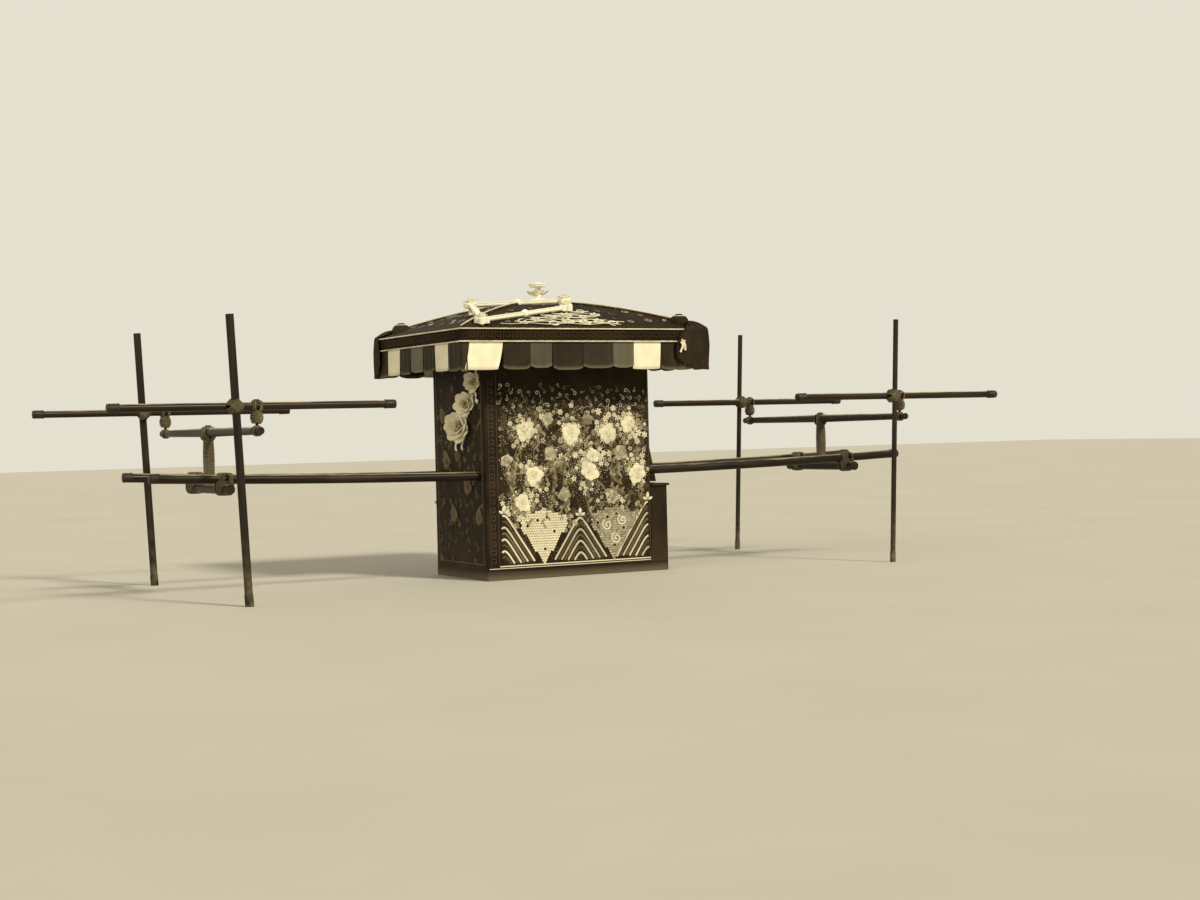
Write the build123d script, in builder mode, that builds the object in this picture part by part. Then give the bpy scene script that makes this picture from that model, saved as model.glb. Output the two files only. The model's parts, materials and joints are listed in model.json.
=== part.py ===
from build123d import *
from math import atan2, cos, hypot, radians, sin
import os

# A palanquin for eight bearers, set down on its base with its carrying rig propped on four staffs.
# Millimetres. X is forward, Y is to the passenger's left, Z is up.
# The origin is on the floor, under the middle of the cabin.

os.makedirs("parts", exist_ok=True)

# Cabin frame
CABIN_LENGTH = 1070.0          # outside of the front and rear faces
CABIN_WIDTH = 700.0            # outside of the two side panels
PANEL = 14.0                   # a cloth-covered board
POST = 45.0                    # side of a corner post
SILL_HEIGHT = 55.0
SILL_WIDTH = 48.0
FLOOR_THICKNESS = 16.0
TOP_PLATE_HEIGHT = 45.0
CABIN_TOP = 1375.0             # top of the top plates
APRON_DEPTH = 110.0            # how far the front apron stands out
APRON_TOP = 500.0
SHELF = 14.0
SHELF_LIP = 12.0
SILL_CHAMFER = 3.0
PANEL_ROUND = 5.0              # rounding of a side panel's upright edges

# Seat
SEAT_TOP = 420.0
SEAT_BOARD = 20.0
SEAT_DEPTH = 460.0
SEAT_RISER = 16.0

# Roof
EAVE_OVERHANG = 250.0
EAVE_TOP = 1410.0
ROOF_RISE = 190.0
ROOF_CAMBER = 34.0             # how far each slope stands proud, half way up
ROOF_WALL = 14.0
ROOF_LIP = 2.0                 # the roof shell's edge over the fascia
FASCIA_HEIGHT = 70.0
FASCIA_THICKNESS = 16.0
PIPING = 5.0                   # radius of the piping on the fascia's two edges
HIP_RIB = 8.0                  # radius of the rib along each hip
VALANCE_DROP = 155.0
VALANCE_THICKNESS = 8.0
VALANCE_SCALLOPS = 9
VALANCE_END_SCALLOPS = 7
SCALLOP_DEPTH = 10.0
MITRE_GAP = 0.6
ARM_WIDTH = 30.0
ARM_HEIGHT = 30.0
ARM_SPREAD = 420.0
ARM_SPREAD_END = 200.0
ORNAMENT_INSET = 122.0         # corner ornament, in from the eave along the roof's length
ORNAMENT_RADIUS = 50.0
ORNAMENT_SINK = 8.0            # its middle under the roof's skin

# Finial and crown rail
FINIAL_BASE_RADIUS = 78.0
FINIAL_BASE_HEIGHT = 26.0
FINIAL_STEM_RADIUS = 19.0
FINIAL_WAIST_RADIUS = 15.0
FINIAL_CAP_RADIUS = 50.0
FINIAL_CAP_HEIGHT = 26.0
FINIAL_HEIGHT = 118.0
FINIAL_SEAT = 5.0              # depth of the flat seat cut for it in the roof
CROWN_BAR = 13.0               # radius of the rails
CROWN_LOBE = 24.0              # the four round lobes of a corner knob, and how far out they stand
CROWN_LOBE_RADIUS = 20.0
CROWN_LOBE_HEIGHT = 30.0
CROWN_BOSS = 24.0              # radius of the ball half way along a rail
CROWN_FOOT = 9.0

# Crown rail's corners: plan place and height over the roof
CROWN_CORNERS = (
    (-635.0, -560.0, 26.0),
    (-10.0, -370.0, 30.0),
    (58.0, -224.0, 32.0),
    (-480.0, -80.0, 56.0),
)

# Poles
MAIN_POLE_RADIUS = 25.0
MAIN_POLE_REACH = 2420.0       # from the middle of the cabin to each tip
MAIN_POLE_HEIGHT = 590.0       # axis at the middle of the cabin
MAIN_POLE_BOW = 50.0           # how much higher the tips are
POLE_GAP = 3.0                 # between a pole and the post beside it
POLE_HOLE_CLEARANCE = 6.0
BRACKET_WIDTH = 34.0
BRACKET_WALL = 8.0
BRACKET_GAP = 0.5
BRACKET_PLATE = 110.0

# Carrying rig
YOKE_INSET = 400.0             # from each main pole's tip to its yoke
YOKE_X = MAIN_POLE_REACH - YOKE_INSET
YOKE_RADIUS = 27.0
YOKE_OVERHANG = 95.0
CROSSBAR_HEIGHT = 875.0
CROSSBAR_RADIUS = 25.0
CROSSBAR_HALF = 820.0
CROSSBAR_END = 60.0
CROSSBAR_TIP_RADIUS = 19.0
PIN_RADIUS = 10.0
PIN_CLEARANCE = 0.05
PIN_HEAD = 8.0
PIN_HEAD_OVERLAP = 6.0         # how much wider than its pin a head is, in radius
PIN_HEAD_GAP = 6.0
HUB_RADIUS = 27.0
HUB_GAP = 1.0
SHOULDER_HEIGHT = 1000.0
SHOULDER_RADIUS = 20.0
SHOULDER_HALF = 750.0
SHOULDER_PIN_RADIUS = 8.0
SLING_RADIUS = 24.0
FERRULE_RADIUS = 22.0
FERRULE_LENGTH = 60.0
STAFF_RADIUS_REAR = 20.5       # the rear pair is stouter
STAFF_RADIUS_FRONT = 15.0
STAFF_TOP = 1460.0
STAFF_SETBACK_REAR = 120.0     # from the rear slings towards the rear
STAFF_SETBACK_FRONT = 60.0     # from the front slings towards the rear
STAFF_LEAN = 2.5               # degrees, each top away from the cabin
STAFF_SHOE = 2.0
LASHING = 7.0
LASHING_LENGTH = 70.0
LUMP_SIDE = 92.0
LUMP_HEIGHT = 124.0
LASHING_GAP = 0.4

# Curtain
CURTAIN_THICKNESS = 10.0
CURTAIN_GAP = 8.0              # from the curtain's edges to the poles and cheeks
CURTAIN_BREAK = 950.0          # height where it starts to slope out over the apron
CURTAIN_HEM_GAP = 8.0
ROD_RADIUS = 8.0
ROD_GAP = 4.0
ROD_DROP = 26.0                # rod's axis under the lintel
EYE_WIDTH = 14.0
EYE_WALL = 7.0
EYE_INSET = 40.0
LINTEL_HEIGHT = 60.0

# Rear garland: place across the rear face, height and radius of each rosette
GARLAND = ((-226.0, 1122.0, 52.0), (-134.0, 1005.0, 66.0), (-37.0, 876.0, 84.0))
GARLAND_THICKNESS = 46.0
GARLAND_BACK = 28.0            # thickness of the outer petals
GARLAND_PETALS = 5
RIBBON_WIDTH = 16.0
RIBBON_THICKNESS = 8.0
RIBBON_LEAD = 90.0

# Places worked out from the sizes above
half_length = CABIN_LENGTH / 2
half_width = CABIN_WIDTH / 2
frame_x = half_length - PANEL
frame_y = half_width - PANEL
base_front = half_length + APRON_DEPTH
post_x = frame_x - POST / 2
post_y = frame_y - POST / 2
pole_y = frame_y - POST - POLE_GAP - MAIN_POLE_RADIUS
eave_x = half_length + EAVE_OVERHANG
eave_y = half_width + EAVE_OVERHANG
fascia_bottom = EAVE_TOP - FASCIA_HEIGHT
pole_hole_radius = MAIN_POLE_RADIUS + POLE_HOLE_CLEARANCE
curtain_half = pole_y - MAIN_POLE_RADIUS - CURTAIN_GAP
cheek_inner = curtain_half + CURTAIN_GAP / 2
rod_height = CABIN_TOP - TOP_PLATE_HEIGHT - LINTEL_HEIGHT + ROD_DROP


def bow_height(x):
    """Height of a main pole's axis at a distance x from the middle of the cabin."""
    return MAIN_POLE_HEIGHT + MAIN_POLE_BOW * (x / MAIN_POLE_REACH) ** 2


def bow_slope(x):
    """Slope of a main pole at that distance, rising towards its tip."""
    return 2 * MAIN_POLE_BOW * x / MAIN_POLE_REACH ** 2


def roof_height(x, y):
    """Height of the roof's outer skin over a point of the plan."""
    out = max(abs(x) / eave_x, abs(y) / eave_y)
    return EAVE_TOP + ROOF_RISE * (1 - out) + 4 * ROOF_CAMBER * out * (1 - out)


def turned_middle(radius_a, height_a, radius_b, height_b):
    """Middle of the arc through two points of a turned profile, its centre on the axis."""
    centre = (radius_a ** 2 + height_a ** 2 - radius_b ** 2 - height_b ** 2) / (2 * (height_a - height_b))
    radius = hypot(radius_a, height_a - centre)
    angle = (atan2(height_a - centre, radius_a) + atan2(height_b - centre, radius_b)) / 2
    return radius * cos(angle), centre + radius * sin(angle)


def keep(part, name):
    """Label a finished piece and write it out."""
    part.label = name
    export_step(part, f"parts/{name}.step")


# Base and floor
with BuildPart() as base_sills:
    for side in (-1, 1):
        with BuildSketch(Plane.XY):
            with Locations(((base_front - half_length) / 2, side * (half_width - SILL_WIDTH / 2))):
                Rectangle(base_front + half_length, SILL_WIDTH)
        extrude(amount=SILL_HEIGHT)
    chamfer(base_sills.edges().filter_by(Axis.X), length=SILL_CHAMFER)
keep(base_sills.part, "base_sills")

member_length = CABIN_WIDTH - 2 * SILL_WIDTH
with BuildPart() as base_cross_members:
    for x in (-half_length + SILL_WIDTH / 2, base_front - SILL_WIDTH / 2):
        with BuildSketch(Plane.XY):
            with Locations((x, 0)):
                Rectangle(SILL_WIDTH, member_length)
        extrude(amount=SILL_HEIGHT)
keep(base_cross_members.part, "base_cross_members")

floor_length = base_front + half_length - 2 * SILL_WIDTH
with BuildPart() as floor_board:
    with BuildSketch(Plane.XY.offset(SILL_HEIGHT - FLOOR_THICKNESS)):
        with Locations(((base_front - half_length) / 2, 0)):
            Rectangle(floor_length, member_length)
    extrude(amount=FLOOR_THICKNESS)
keep(floor_board.part, "floor_board")

# Posts and top frame
post_top = CABIN_TOP - TOP_PLATE_HEIGHT
with BuildPart() as corner_posts:
    with BuildSketch(Plane.XY.offset(SILL_HEIGHT)):
        with Locations([(sx * post_x, sy * post_y) for sx in (-1, 1) for sy in (-1, 1)]):
            Rectangle(POST, POST)
    extrude(amount=post_top - SILL_HEIGHT)
keep(corner_posts.part, "corner_posts")

with BuildPart() as top_plates:
    for side in (-1, 1):
        with BuildSketch(Plane.XY.offset(post_top)):
            with Locations((0, side * post_y)):
                Rectangle(2 * frame_x, POST)
        extrude(amount=TOP_PLATE_HEIGHT)
keep(top_plates.part, "top_plates")

rail_length = 2 * (frame_y - POST)
with BuildPart() as top_cross_rails:
    for side in (-1, 1):
        with BuildSketch(Plane.XY.offset(post_top)):
            with Locations((side * post_x, 0)):
                Rectangle(POST, rail_length)
        extrude(amount=TOP_PLATE_HEIGHT)
keep(top_cross_rails.part, "top_cross_rails")

# Cloth-covered panels
panel_height = CABIN_TOP - SILL_HEIGHT
for side, name in ((-1, "side_panel_right"), (1, "side_panel_left")):
    with BuildPart() as side_panel:
        with BuildSketch(Plane.XY.offset(SILL_HEIGHT)):
            with Locations((0, side * (half_width - PANEL / 2))):
                Rectangle(CABIN_LENGTH, PANEL)
        extrude(amount=panel_height)
        fillet(side_panel.edges().filter_by(Axis.Z), radius=PANEL_ROUND)
    keep(side_panel.part, name)

with BuildPart() as rear_panel:
    with BuildSketch(Plane.YZ.offset(-half_length)):
        with Locations((0, SILL_HEIGHT + panel_height / 2)):
            Rectangle(CABIN_WIDTH - 2 * PANEL, panel_height)
        with Locations([(side * pole_y, bow_height(half_length)) for side in (-1, 1)]):
            Circle(pole_hole_radius, mode=Mode.SUBTRACT)
    extrude(amount=PANEL)
keep(rear_panel.part, "rear_panel")

# Front: apron, shelf, cheeks and lintel
with BuildPart() as apron_board:
    with BuildSketch(Plane.YZ.offset(base_front - PANEL)):
        with Locations((0, (SILL_HEIGHT + APRON_TOP) / 2)):
            Rectangle(CABIN_WIDTH, APRON_TOP - SILL_HEIGHT)
    extrude(amount=PANEL)
keep(apron_board.part, "apron_board")

with BuildPart() as apron_cheeks:
    for side in (-1, 1):
        with BuildSketch(Plane.XY.offset(SILL_HEIGHT)):
            with Locations(((half_length + base_front - PANEL) / 2, side * (half_width - PANEL / 2))):
                Rectangle(APRON_DEPTH - PANEL, PANEL)
        extrude(amount=APRON_TOP - SILL_HEIGHT)
keep(apron_cheeks.part, "apron_cheeks")

with BuildPart() as apron_shelf:
    with BuildSketch(Plane.XY.offset(APRON_TOP)):
        with Locations(((half_length + base_front + SHELF_LIP) / 2, 0)):
            Rectangle(APRON_DEPTH + SHELF_LIP, CABIN_WIDTH + 2 * SHELF_LIP)
    extrude(amount=SHELF)
    fillet(apron_shelf.edges().filter_by(Axis.Y), radius=SHELF / 3)
keep(apron_shelf.part, "apron_shelf")

cheek_bottom = APRON_TOP + SHELF
with BuildPart() as door_cheeks:
    for side in (-1, 1):
        with BuildSketch(Plane.YZ.offset(frame_x)):
            with Locations((side * (cheek_inner + frame_y) / 2, (cheek_bottom + post_top) / 2)):
                Rectangle(frame_y - cheek_inner, post_top - cheek_bottom)
            with Locations((side * pole_y, bow_height(half_length))):
                Circle(pole_hole_radius, mode=Mode.SUBTRACT)
        extrude(amount=PANEL)
keep(door_cheeks.part, "door_cheeks")

with BuildPart() as door_lintel:
    with BuildSketch(Plane.YZ.offset(frame_x)):
        with Locations((0, post_top - LINTEL_HEIGHT / 2)):
            Rectangle(2 * cheek_inner, LINTEL_HEIGHT)
    extrude(amount=PANEL)
keep(door_lintel.part, "door_lintel")

# Seat across the rear half
seat_x = -frame_x + SEAT_DEPTH / 2
seat_width = 2 * (frame_y - POST - POLE_GAP)
with BuildPart() as seat_bench:
    with BuildSketch(Plane.XY.offset(SEAT_TOP - SEAT_BOARD)):
        with Locations((seat_x, 0)):
            Rectangle(SEAT_DEPTH, seat_width)
    extrude(amount=SEAT_BOARD)
    with BuildSketch(Plane.XY.offset(SILL_HEIGHT)):
        with Locations((seat_x + SEAT_DEPTH / 2 - 2 * SEAT_RISER, 0)):
            Rectangle(SEAT_RISER, seat_width)
    extrude(amount=SEAT_TOP - SEAT_BOARD - SILL_HEIGHT)
keep(seat_bench.part, "seat_bench")

# Roof: two cambered profiles crossing, hollowed, with a rib along each hip
def vault(rise, inset, depth):
    """A closed hip roof whose two sections rise to a point with the same camber."""
    reach_x = eave_x - inset
    reach_y = eave_y - inset
    shoulder = EAVE_TOP + rise / 2 + ROOF_CAMBER
    with BuildPart() as body:
        with BuildSketch(Plane.XZ.offset(-reach_y)):
            with BuildLine():
                ThreePointArc((-reach_x, EAVE_TOP), (-reach_x / 2, shoulder), (0, EAVE_TOP + rise))
                ThreePointArc((0, EAVE_TOP + rise), (reach_x / 2, shoulder), (reach_x, EAVE_TOP))
                Polyline((reach_x, EAVE_TOP), (reach_x, depth), (-reach_x, depth), (-reach_x, EAVE_TOP))
            make_face()
        extrude(amount=2 * reach_y)
        with BuildSketch(Plane.YZ.offset(-reach_x)):
            with BuildLine():
                ThreePointArc((-reach_y, EAVE_TOP), (-reach_y / 2, shoulder), (0, EAVE_TOP + rise))
                ThreePointArc((0, EAVE_TOP + rise), (reach_y / 2, shoulder), (reach_y, EAVE_TOP))
                Polyline((reach_y, EAVE_TOP), (reach_y, depth), (-reach_y, depth), (-reach_y, EAVE_TOP))
            make_face()
        extrude(amount=2 * reach_x, mode=Mode.INTERSECT)
    return body.part


roof_outer = vault(ROOF_RISE, 0.0, EAVE_TOP - ROOF_LIP)
roof_inner = vault(ROOF_RISE - ROOF_WALL, FASCIA_THICKNESS, EAVE_TOP - 2 * ROOF_LIP)
hip_reach = hypot(eave_x, eave_y)
apex = EAVE_TOP + ROOF_RISE
with BuildPart() as roof_shell:
    add(roof_outer)
    add(roof_inner, mode=Mode.SUBTRACT)
    for sx in (-1, 1):
        for sy in (-1, 1):
            hip_plane = Plane(origin=(0, 0, 0), x_dir=(sx * eave_x, sy * eave_y, 0),
                              z_dir=(sy * eave_y, -sx * eave_x, 0))
            with BuildLine(hip_plane) as hip:
                ThreePointArc((hip_reach, EAVE_TOP), (hip_reach / 2, EAVE_TOP + ROOF_RISE / 2 + ROOF_CAMBER),
                              (0, apex))
            with BuildSketch(Plane(origin=hip.line @ 0, z_dir=hip.line % 0)):
                Circle(HIP_RIB)
            sweep(path=hip.line)
    split(bisect_by=Plane.XY.offset(EAVE_TOP - ROOF_LIP), keep=Keep.TOP)
    with BuildSketch(Plane.XY.offset(apex - FINIAL_SEAT)):
        Circle(FINIAL_BASE_RADIUS + MITRE_GAP)
    extrude(amount=2 * FINIAL_SEAT + HIP_RIB, mode=Mode.SUBTRACT)
keep(roof_shell.part, "roof_shell")

# Fascia boards with piping on both edges, mitred at the corners
# Columns of the table: turn about Z, reach of the board, half of its length
FASCIA_SIDES = ((0.0, eave_x, eave_y), (90.0, eave_y, eave_x), (180.0, eave_x, eave_y), (270.0, eave_y, eave_x))


def outward_and_run(turn):
    """Unit vectors that point out of one side of the eave and along it."""
    outward = Vector(cos(radians(turn)), sin(radians(turn)), 0)
    run = Vector(-sin(radians(turn)), cos(radians(turn)), 0)
    return outward, run


def fascia_board(turn, reach, half):
    """One board of the fascia, with its piping and its two mitres."""
    outward, run = outward_and_run(turn)
    start = outward * reach + run * (half + PIPING)
    with BuildPart() as board:
        with BuildSketch(Plane(origin=start, x_dir=outward, z_dir=run * -1)):
            with Locations((-FASCIA_THICKNESS / 2, EAVE_TOP - ROOF_LIP - FASCIA_HEIGHT / 2)):
                Rectangle(FASCIA_THICKNESS, FASCIA_HEIGHT)
            with Locations((0, EAVE_TOP - ROOF_LIP - PIPING), (0, fascia_bottom + PIPING)):
                Circle(PIPING)
        extrude(amount=2 * (half + PIPING))
        for end in (-1, 1):
            corner = outward * reach + run * (end * (half - MITRE_GAP / 2))
            split(bisect_by=Plane(origin=corner, z_dir=run * end - outward), keep=Keep.BOTTOM)
    return board.part


with BuildPart() as fascia:
    for turn, reach, half in FASCIA_SIDES:
        add(fascia_board(turn, reach, half))
keep(fascia.part, "fascia")

# Valance panels under the fascia, with a shallow scalloped hem
# Columns of the table: name, turn about Z, reach, half of its length, scallops
VALANCES = (
    ("valance_front", 0.0, eave_x, eave_y - VALANCE_THICKNESS - MITRE_GAP, VALANCE_END_SCALLOPS),
    ("valance_left", 90.0, eave_y, eave_x, VALANCE_SCALLOPS),
    ("valance_rear", 180.0, eave_x, eave_y - VALANCE_THICKNESS - MITRE_GAP, VALANCE_END_SCALLOPS),
    ("valance_right", 270.0, eave_y, eave_x, VALANCE_SCALLOPS),
)
valance_top = EAVE_TOP - ROOF_LIP - FASCIA_HEIGHT
for name, turn, reach, half, count in VALANCES:
    outward, run = outward_and_run(turn)
    pitch = 2 * half / count
    hem = valance_top - VALANCE_DROP + SCALLOP_DEPTH
    with BuildPart() as valance:
        with BuildSketch(Plane(origin=outward * reach, x_dir=run, z_dir=outward)):
            with BuildLine():
                Polyline((half, hem), (half, valance_top), (-half, valance_top), (-half, hem))
                for i in range(count):
                    left = -half + i * pitch
                    ThreePointArc((left, hem), (left + pitch / 2, hem - SCALLOP_DEPTH), (left + pitch, hem))
            make_face()
        extrude(amount=-VALANCE_THICKNESS)
    keep(valance.part, name)

# Arms that carry the eave, resting on the top frame
# Columns of the table: turn about Z, inner end, outer end, half spread of the arms, number of arms
ARMS = (
    (0.0, frame_x - POST, eave_x - FASCIA_THICKNESS, ARM_SPREAD_END, 2),
    (90.0, frame_y - POST, eave_y - FASCIA_THICKNESS, ARM_SPREAD, 4),
    (180.0, frame_x - POST, eave_x - FASCIA_THICKNESS, ARM_SPREAD_END, 2),
    (270.0, frame_y - POST, eave_y - FASCIA_THICKNESS, ARM_SPREAD, 4),
)
with BuildPart() as eave_arms:
    for turn, inner, outer, spread, count in ARMS:
        outward, run = outward_and_run(turn)
        with BuildSketch(Plane(origin=outward * inner, x_dir=run, z_dir=outward)):
            with Locations([(-spread + 2 * spread * i / (count - 1), CABIN_TOP + ARM_HEIGHT / 2) for i in range(count)]):
                Rectangle(ARM_WIDTH, ARM_HEIGHT)
        extrude(amount=outer - inner)
keep(eave_arms.part, "eave_arms")

# Gathered silk knots on the hips near three corners: the crown rail's own knob stands at the fourth
ornament_x = eave_x - ORNAMENT_INSET
ornament_y = eave_y * ornament_x / eave_x
ornament_z = roof_height(ornament_x, ornament_y) - ORNAMENT_SINK
with BuildPart() as corner_ornaments:
    with Locations([(sx * ornament_x, sy * ornament_y, ornament_z) for sx, sy in ((1, -1), (1, 1), (-1, 1))]):
        Sphere(ORNAMENT_RADIUS)
    add(roof_outer, mode=Mode.SUBTRACT)
    add(roof_shell.part, mode=Mode.SUBTRACT)
    split(bisect_by=Plane.XY.offset(EAVE_TOP), keep=Keep.TOP)
keep(corner_ornaments.part, "corner_ornaments")

# Finial: a dome, a waisted stem and a spreading cap
cap_z = FINIAL_HEIGHT - FINIAL_CAP_HEIGHT
with BuildPart() as finial:
    with BuildSketch(Plane(origin=(0, 0, apex), x_dir=(1, 0, 0), z_dir=(0, -1, 0))):
        with BuildLine():
            Polyline((0, FINIAL_HEIGHT), (0, -FINIAL_SEAT), (FINIAL_BASE_RADIUS, -FINIAL_SEAT))
            ThreePointArc(
                (FINIAL_BASE_RADIUS, -FINIAL_SEAT),
                turned_middle(FINIAL_BASE_RADIUS, -FINIAL_SEAT, FINIAL_STEM_RADIUS, FINIAL_BASE_HEIGHT),
                (FINIAL_STEM_RADIUS, FINIAL_BASE_HEIGHT),
            )
            Polyline(
                (FINIAL_STEM_RADIUS, FINIAL_BASE_HEIGHT),
                (FINIAL_WAIST_RADIUS, (FINIAL_BASE_HEIGHT + cap_z) / 2),
                (FINIAL_STEM_RADIUS, cap_z),
                (FINIAL_CAP_RADIUS, cap_z),
            )
            ThreePointArc(
                (FINIAL_CAP_RADIUS, cap_z),
                turned_middle(FINIAL_CAP_RADIUS, cap_z, 0, FINIAL_HEIGHT),
                (0, FINIAL_HEIGHT),
            )
        make_face()
    revolve(axis=Axis.Z)
keep(finial.part, "finial")

# Crown rail: four rails between lobed knobs, standing on feet over the right-hand and rear slopes
knobs = [Vector(x, y, roof_height(x, y) + lift) for x, y, lift in CROWN_CORNERS]
crown_normal = (knobs[2] - knobs[0]).cross(knobs[3] - knobs[1]).normalized()
with BuildPart() as crown_rail:
    for i, knob in enumerate(knobs):
        rail = knobs[(i + 1) % len(knobs)] - knob
        with BuildSketch(Plane(origin=knob, z_dir=rail)):
            Circle(CROWN_BAR)
        extrude(amount=rail.length)
        with Locations(knob + rail / 2):
            Sphere(CROWN_BOSS)
        knob_plane = Plane(origin=knob, x_dir=rail, z_dir=crown_normal)
        with BuildSketch(knob_plane.offset(-CROWN_LOBE_HEIGHT / 2)):
            with PolarLocations(CROWN_LOBE, 4, start_angle=45):
                Circle(CROWN_LOBE_RADIUS)
            Circle(CROWN_LOBE)
        extrude(amount=CROWN_LOBE_HEIGHT)
        with BuildSketch(Plane.XY.offset(roof_height(knob.X, knob.Y) - ROOF_WALL / 2)):
            with Locations((knob.X, knob.Y)):
                Circle(CROWN_FOOT)
        extrude(amount=knob.Z - roof_height(knob.X, knob.Y) + ROOF_WALL / 2)
    add(roof_outer, mode=Mode.SUBTRACT)
    add(roof_shell.part, mode=Mode.SUBTRACT)
keep(crown_rail.part, "crown_rail")

# Main poles: slightly bowed upwards towards their tips
for side, name in ((-1, "main_pole_right"), (1, "main_pole_left")):
    with BuildPart() as main_pole:
        with BuildLine(Plane.XZ.offset(-side * pole_y)) as bow:
            tip = bow_height(MAIN_POLE_REACH)
            ThreePointArc((-MAIN_POLE_REACH, tip), (0, MAIN_POLE_HEIGHT), (MAIN_POLE_REACH, tip))
        with BuildSketch(Plane(origin=bow.line @ 0, z_dir=bow.line % 0)):
            Circle(MAIN_POLE_RADIUS)
        sweep(path=bow.line)
    keep(main_pole.part, name)

# Iron straps that hang the poles from the posts
strap_radius = MAIN_POLE_RADIUS + BRACKET_GAP
post_face = frame_y - POST
with BuildPart() as pole_brackets:
    for sx in (-1, 1):
        for sy in (-1, 1):
            with BuildSketch(Plane.YZ.offset(sx * post_x - BRACKET_WIDTH / 2)):
                with Locations((sy * pole_y, bow_height(post_x))):
                    Circle(strap_radius + BRACKET_WALL)
                with Locations((sy * (post_face - BRACKET_WALL / 2), bow_height(post_x))):
                    Rectangle(BRACKET_WALL, BRACKET_PLATE)
                with Locations((sy * (post_face + POST / 2), bow_height(post_x))):
                    Rectangle(POST, 2 * BRACKET_PLATE, mode=Mode.SUBTRACT)
                with Locations((sy * pole_y, bow_height(post_x))):
                    Circle(strap_radius, mode=Mode.SUBTRACT)
            extrude(amount=BRACKET_WIDTH)
keep(pole_brackets.part, "pole_brackets")

# Yokes under the poles near their tips, each with the pin that its crossbar turns on
yoke_z = bow_height(YOKE_X) - MAIN_POLE_RADIUS - YOKE_RADIUS - LASHING_GAP
yoke_half = pole_y + YOKE_OVERHANG
pin_top = CROSSBAR_HEIGHT + CROSSBAR_RADIUS + PIN_HEAD_GAP
ENDS = ((-1, "rear"), (1, "front"))
for end, where in ENDS:
    with BuildPart() as yoke:
        with BuildSketch(Plane(origin=(end * YOKE_X, -yoke_half, yoke_z), z_dir=(0, 1, 0))):
            Circle(YOKE_RADIUS)
        extrude(amount=2 * yoke_half)
        with BuildSketch(Plane.XY.offset(yoke_z)):
            with Locations((end * YOKE_X, 0)):
                Circle(PIN_RADIUS)
        extrude(amount=pin_top + PIN_HEAD - yoke_z)
        with BuildSketch(Plane.XY.offset(pin_top)):
            with Locations((end * YOKE_X, 0)):
                Circle(PIN_RADIUS + PIN_HEAD_OVERLAP)
        extrude(amount=PIN_HEAD)
    keep(yoke.part, f"yoke_{where}")

# Rope lumps where the yokes cross the poles
lump_z = yoke_z + YOKE_RADIUS
with BuildPart() as yoke_lashings:
    for end in (-1, 1):
        for side in (-1, 1):
            with BuildSketch(Plane.XY.offset(lump_z - LUMP_HEIGHT / 2)):
                with Locations((end * YOKE_X, side * pole_y)):
                    RectangleRounded(LUMP_SIDE, LUMP_SIDE, LUMP_SIDE / 3)
            extrude(amount=LUMP_HEIGHT)
    for end in (-1, 1):
        with BuildSketch(Plane(origin=(end * YOKE_X, -yoke_half, yoke_z), z_dir=(0, 1, 0))):
            Circle(YOKE_RADIUS + LASHING_GAP)
        extrude(amount=2 * yoke_half, mode=Mode.SUBTRACT)
    for end in (-1, 1):
        for side in (-1, 1):
            along_pole = (1, 0, end * bow_slope(YOKE_X))
            with BuildSketch(Plane(origin=(end * YOKE_X, side * pole_y, bow_height(YOKE_X)), z_dir=along_pole)):
                Circle(MAIN_POLE_RADIUS + LASHING_GAP)
            extrude(amount=LUMP_SIDE, both=True, mode=Mode.SUBTRACT)
keep(yoke_lashings.part, "yoke_lashings")

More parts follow.
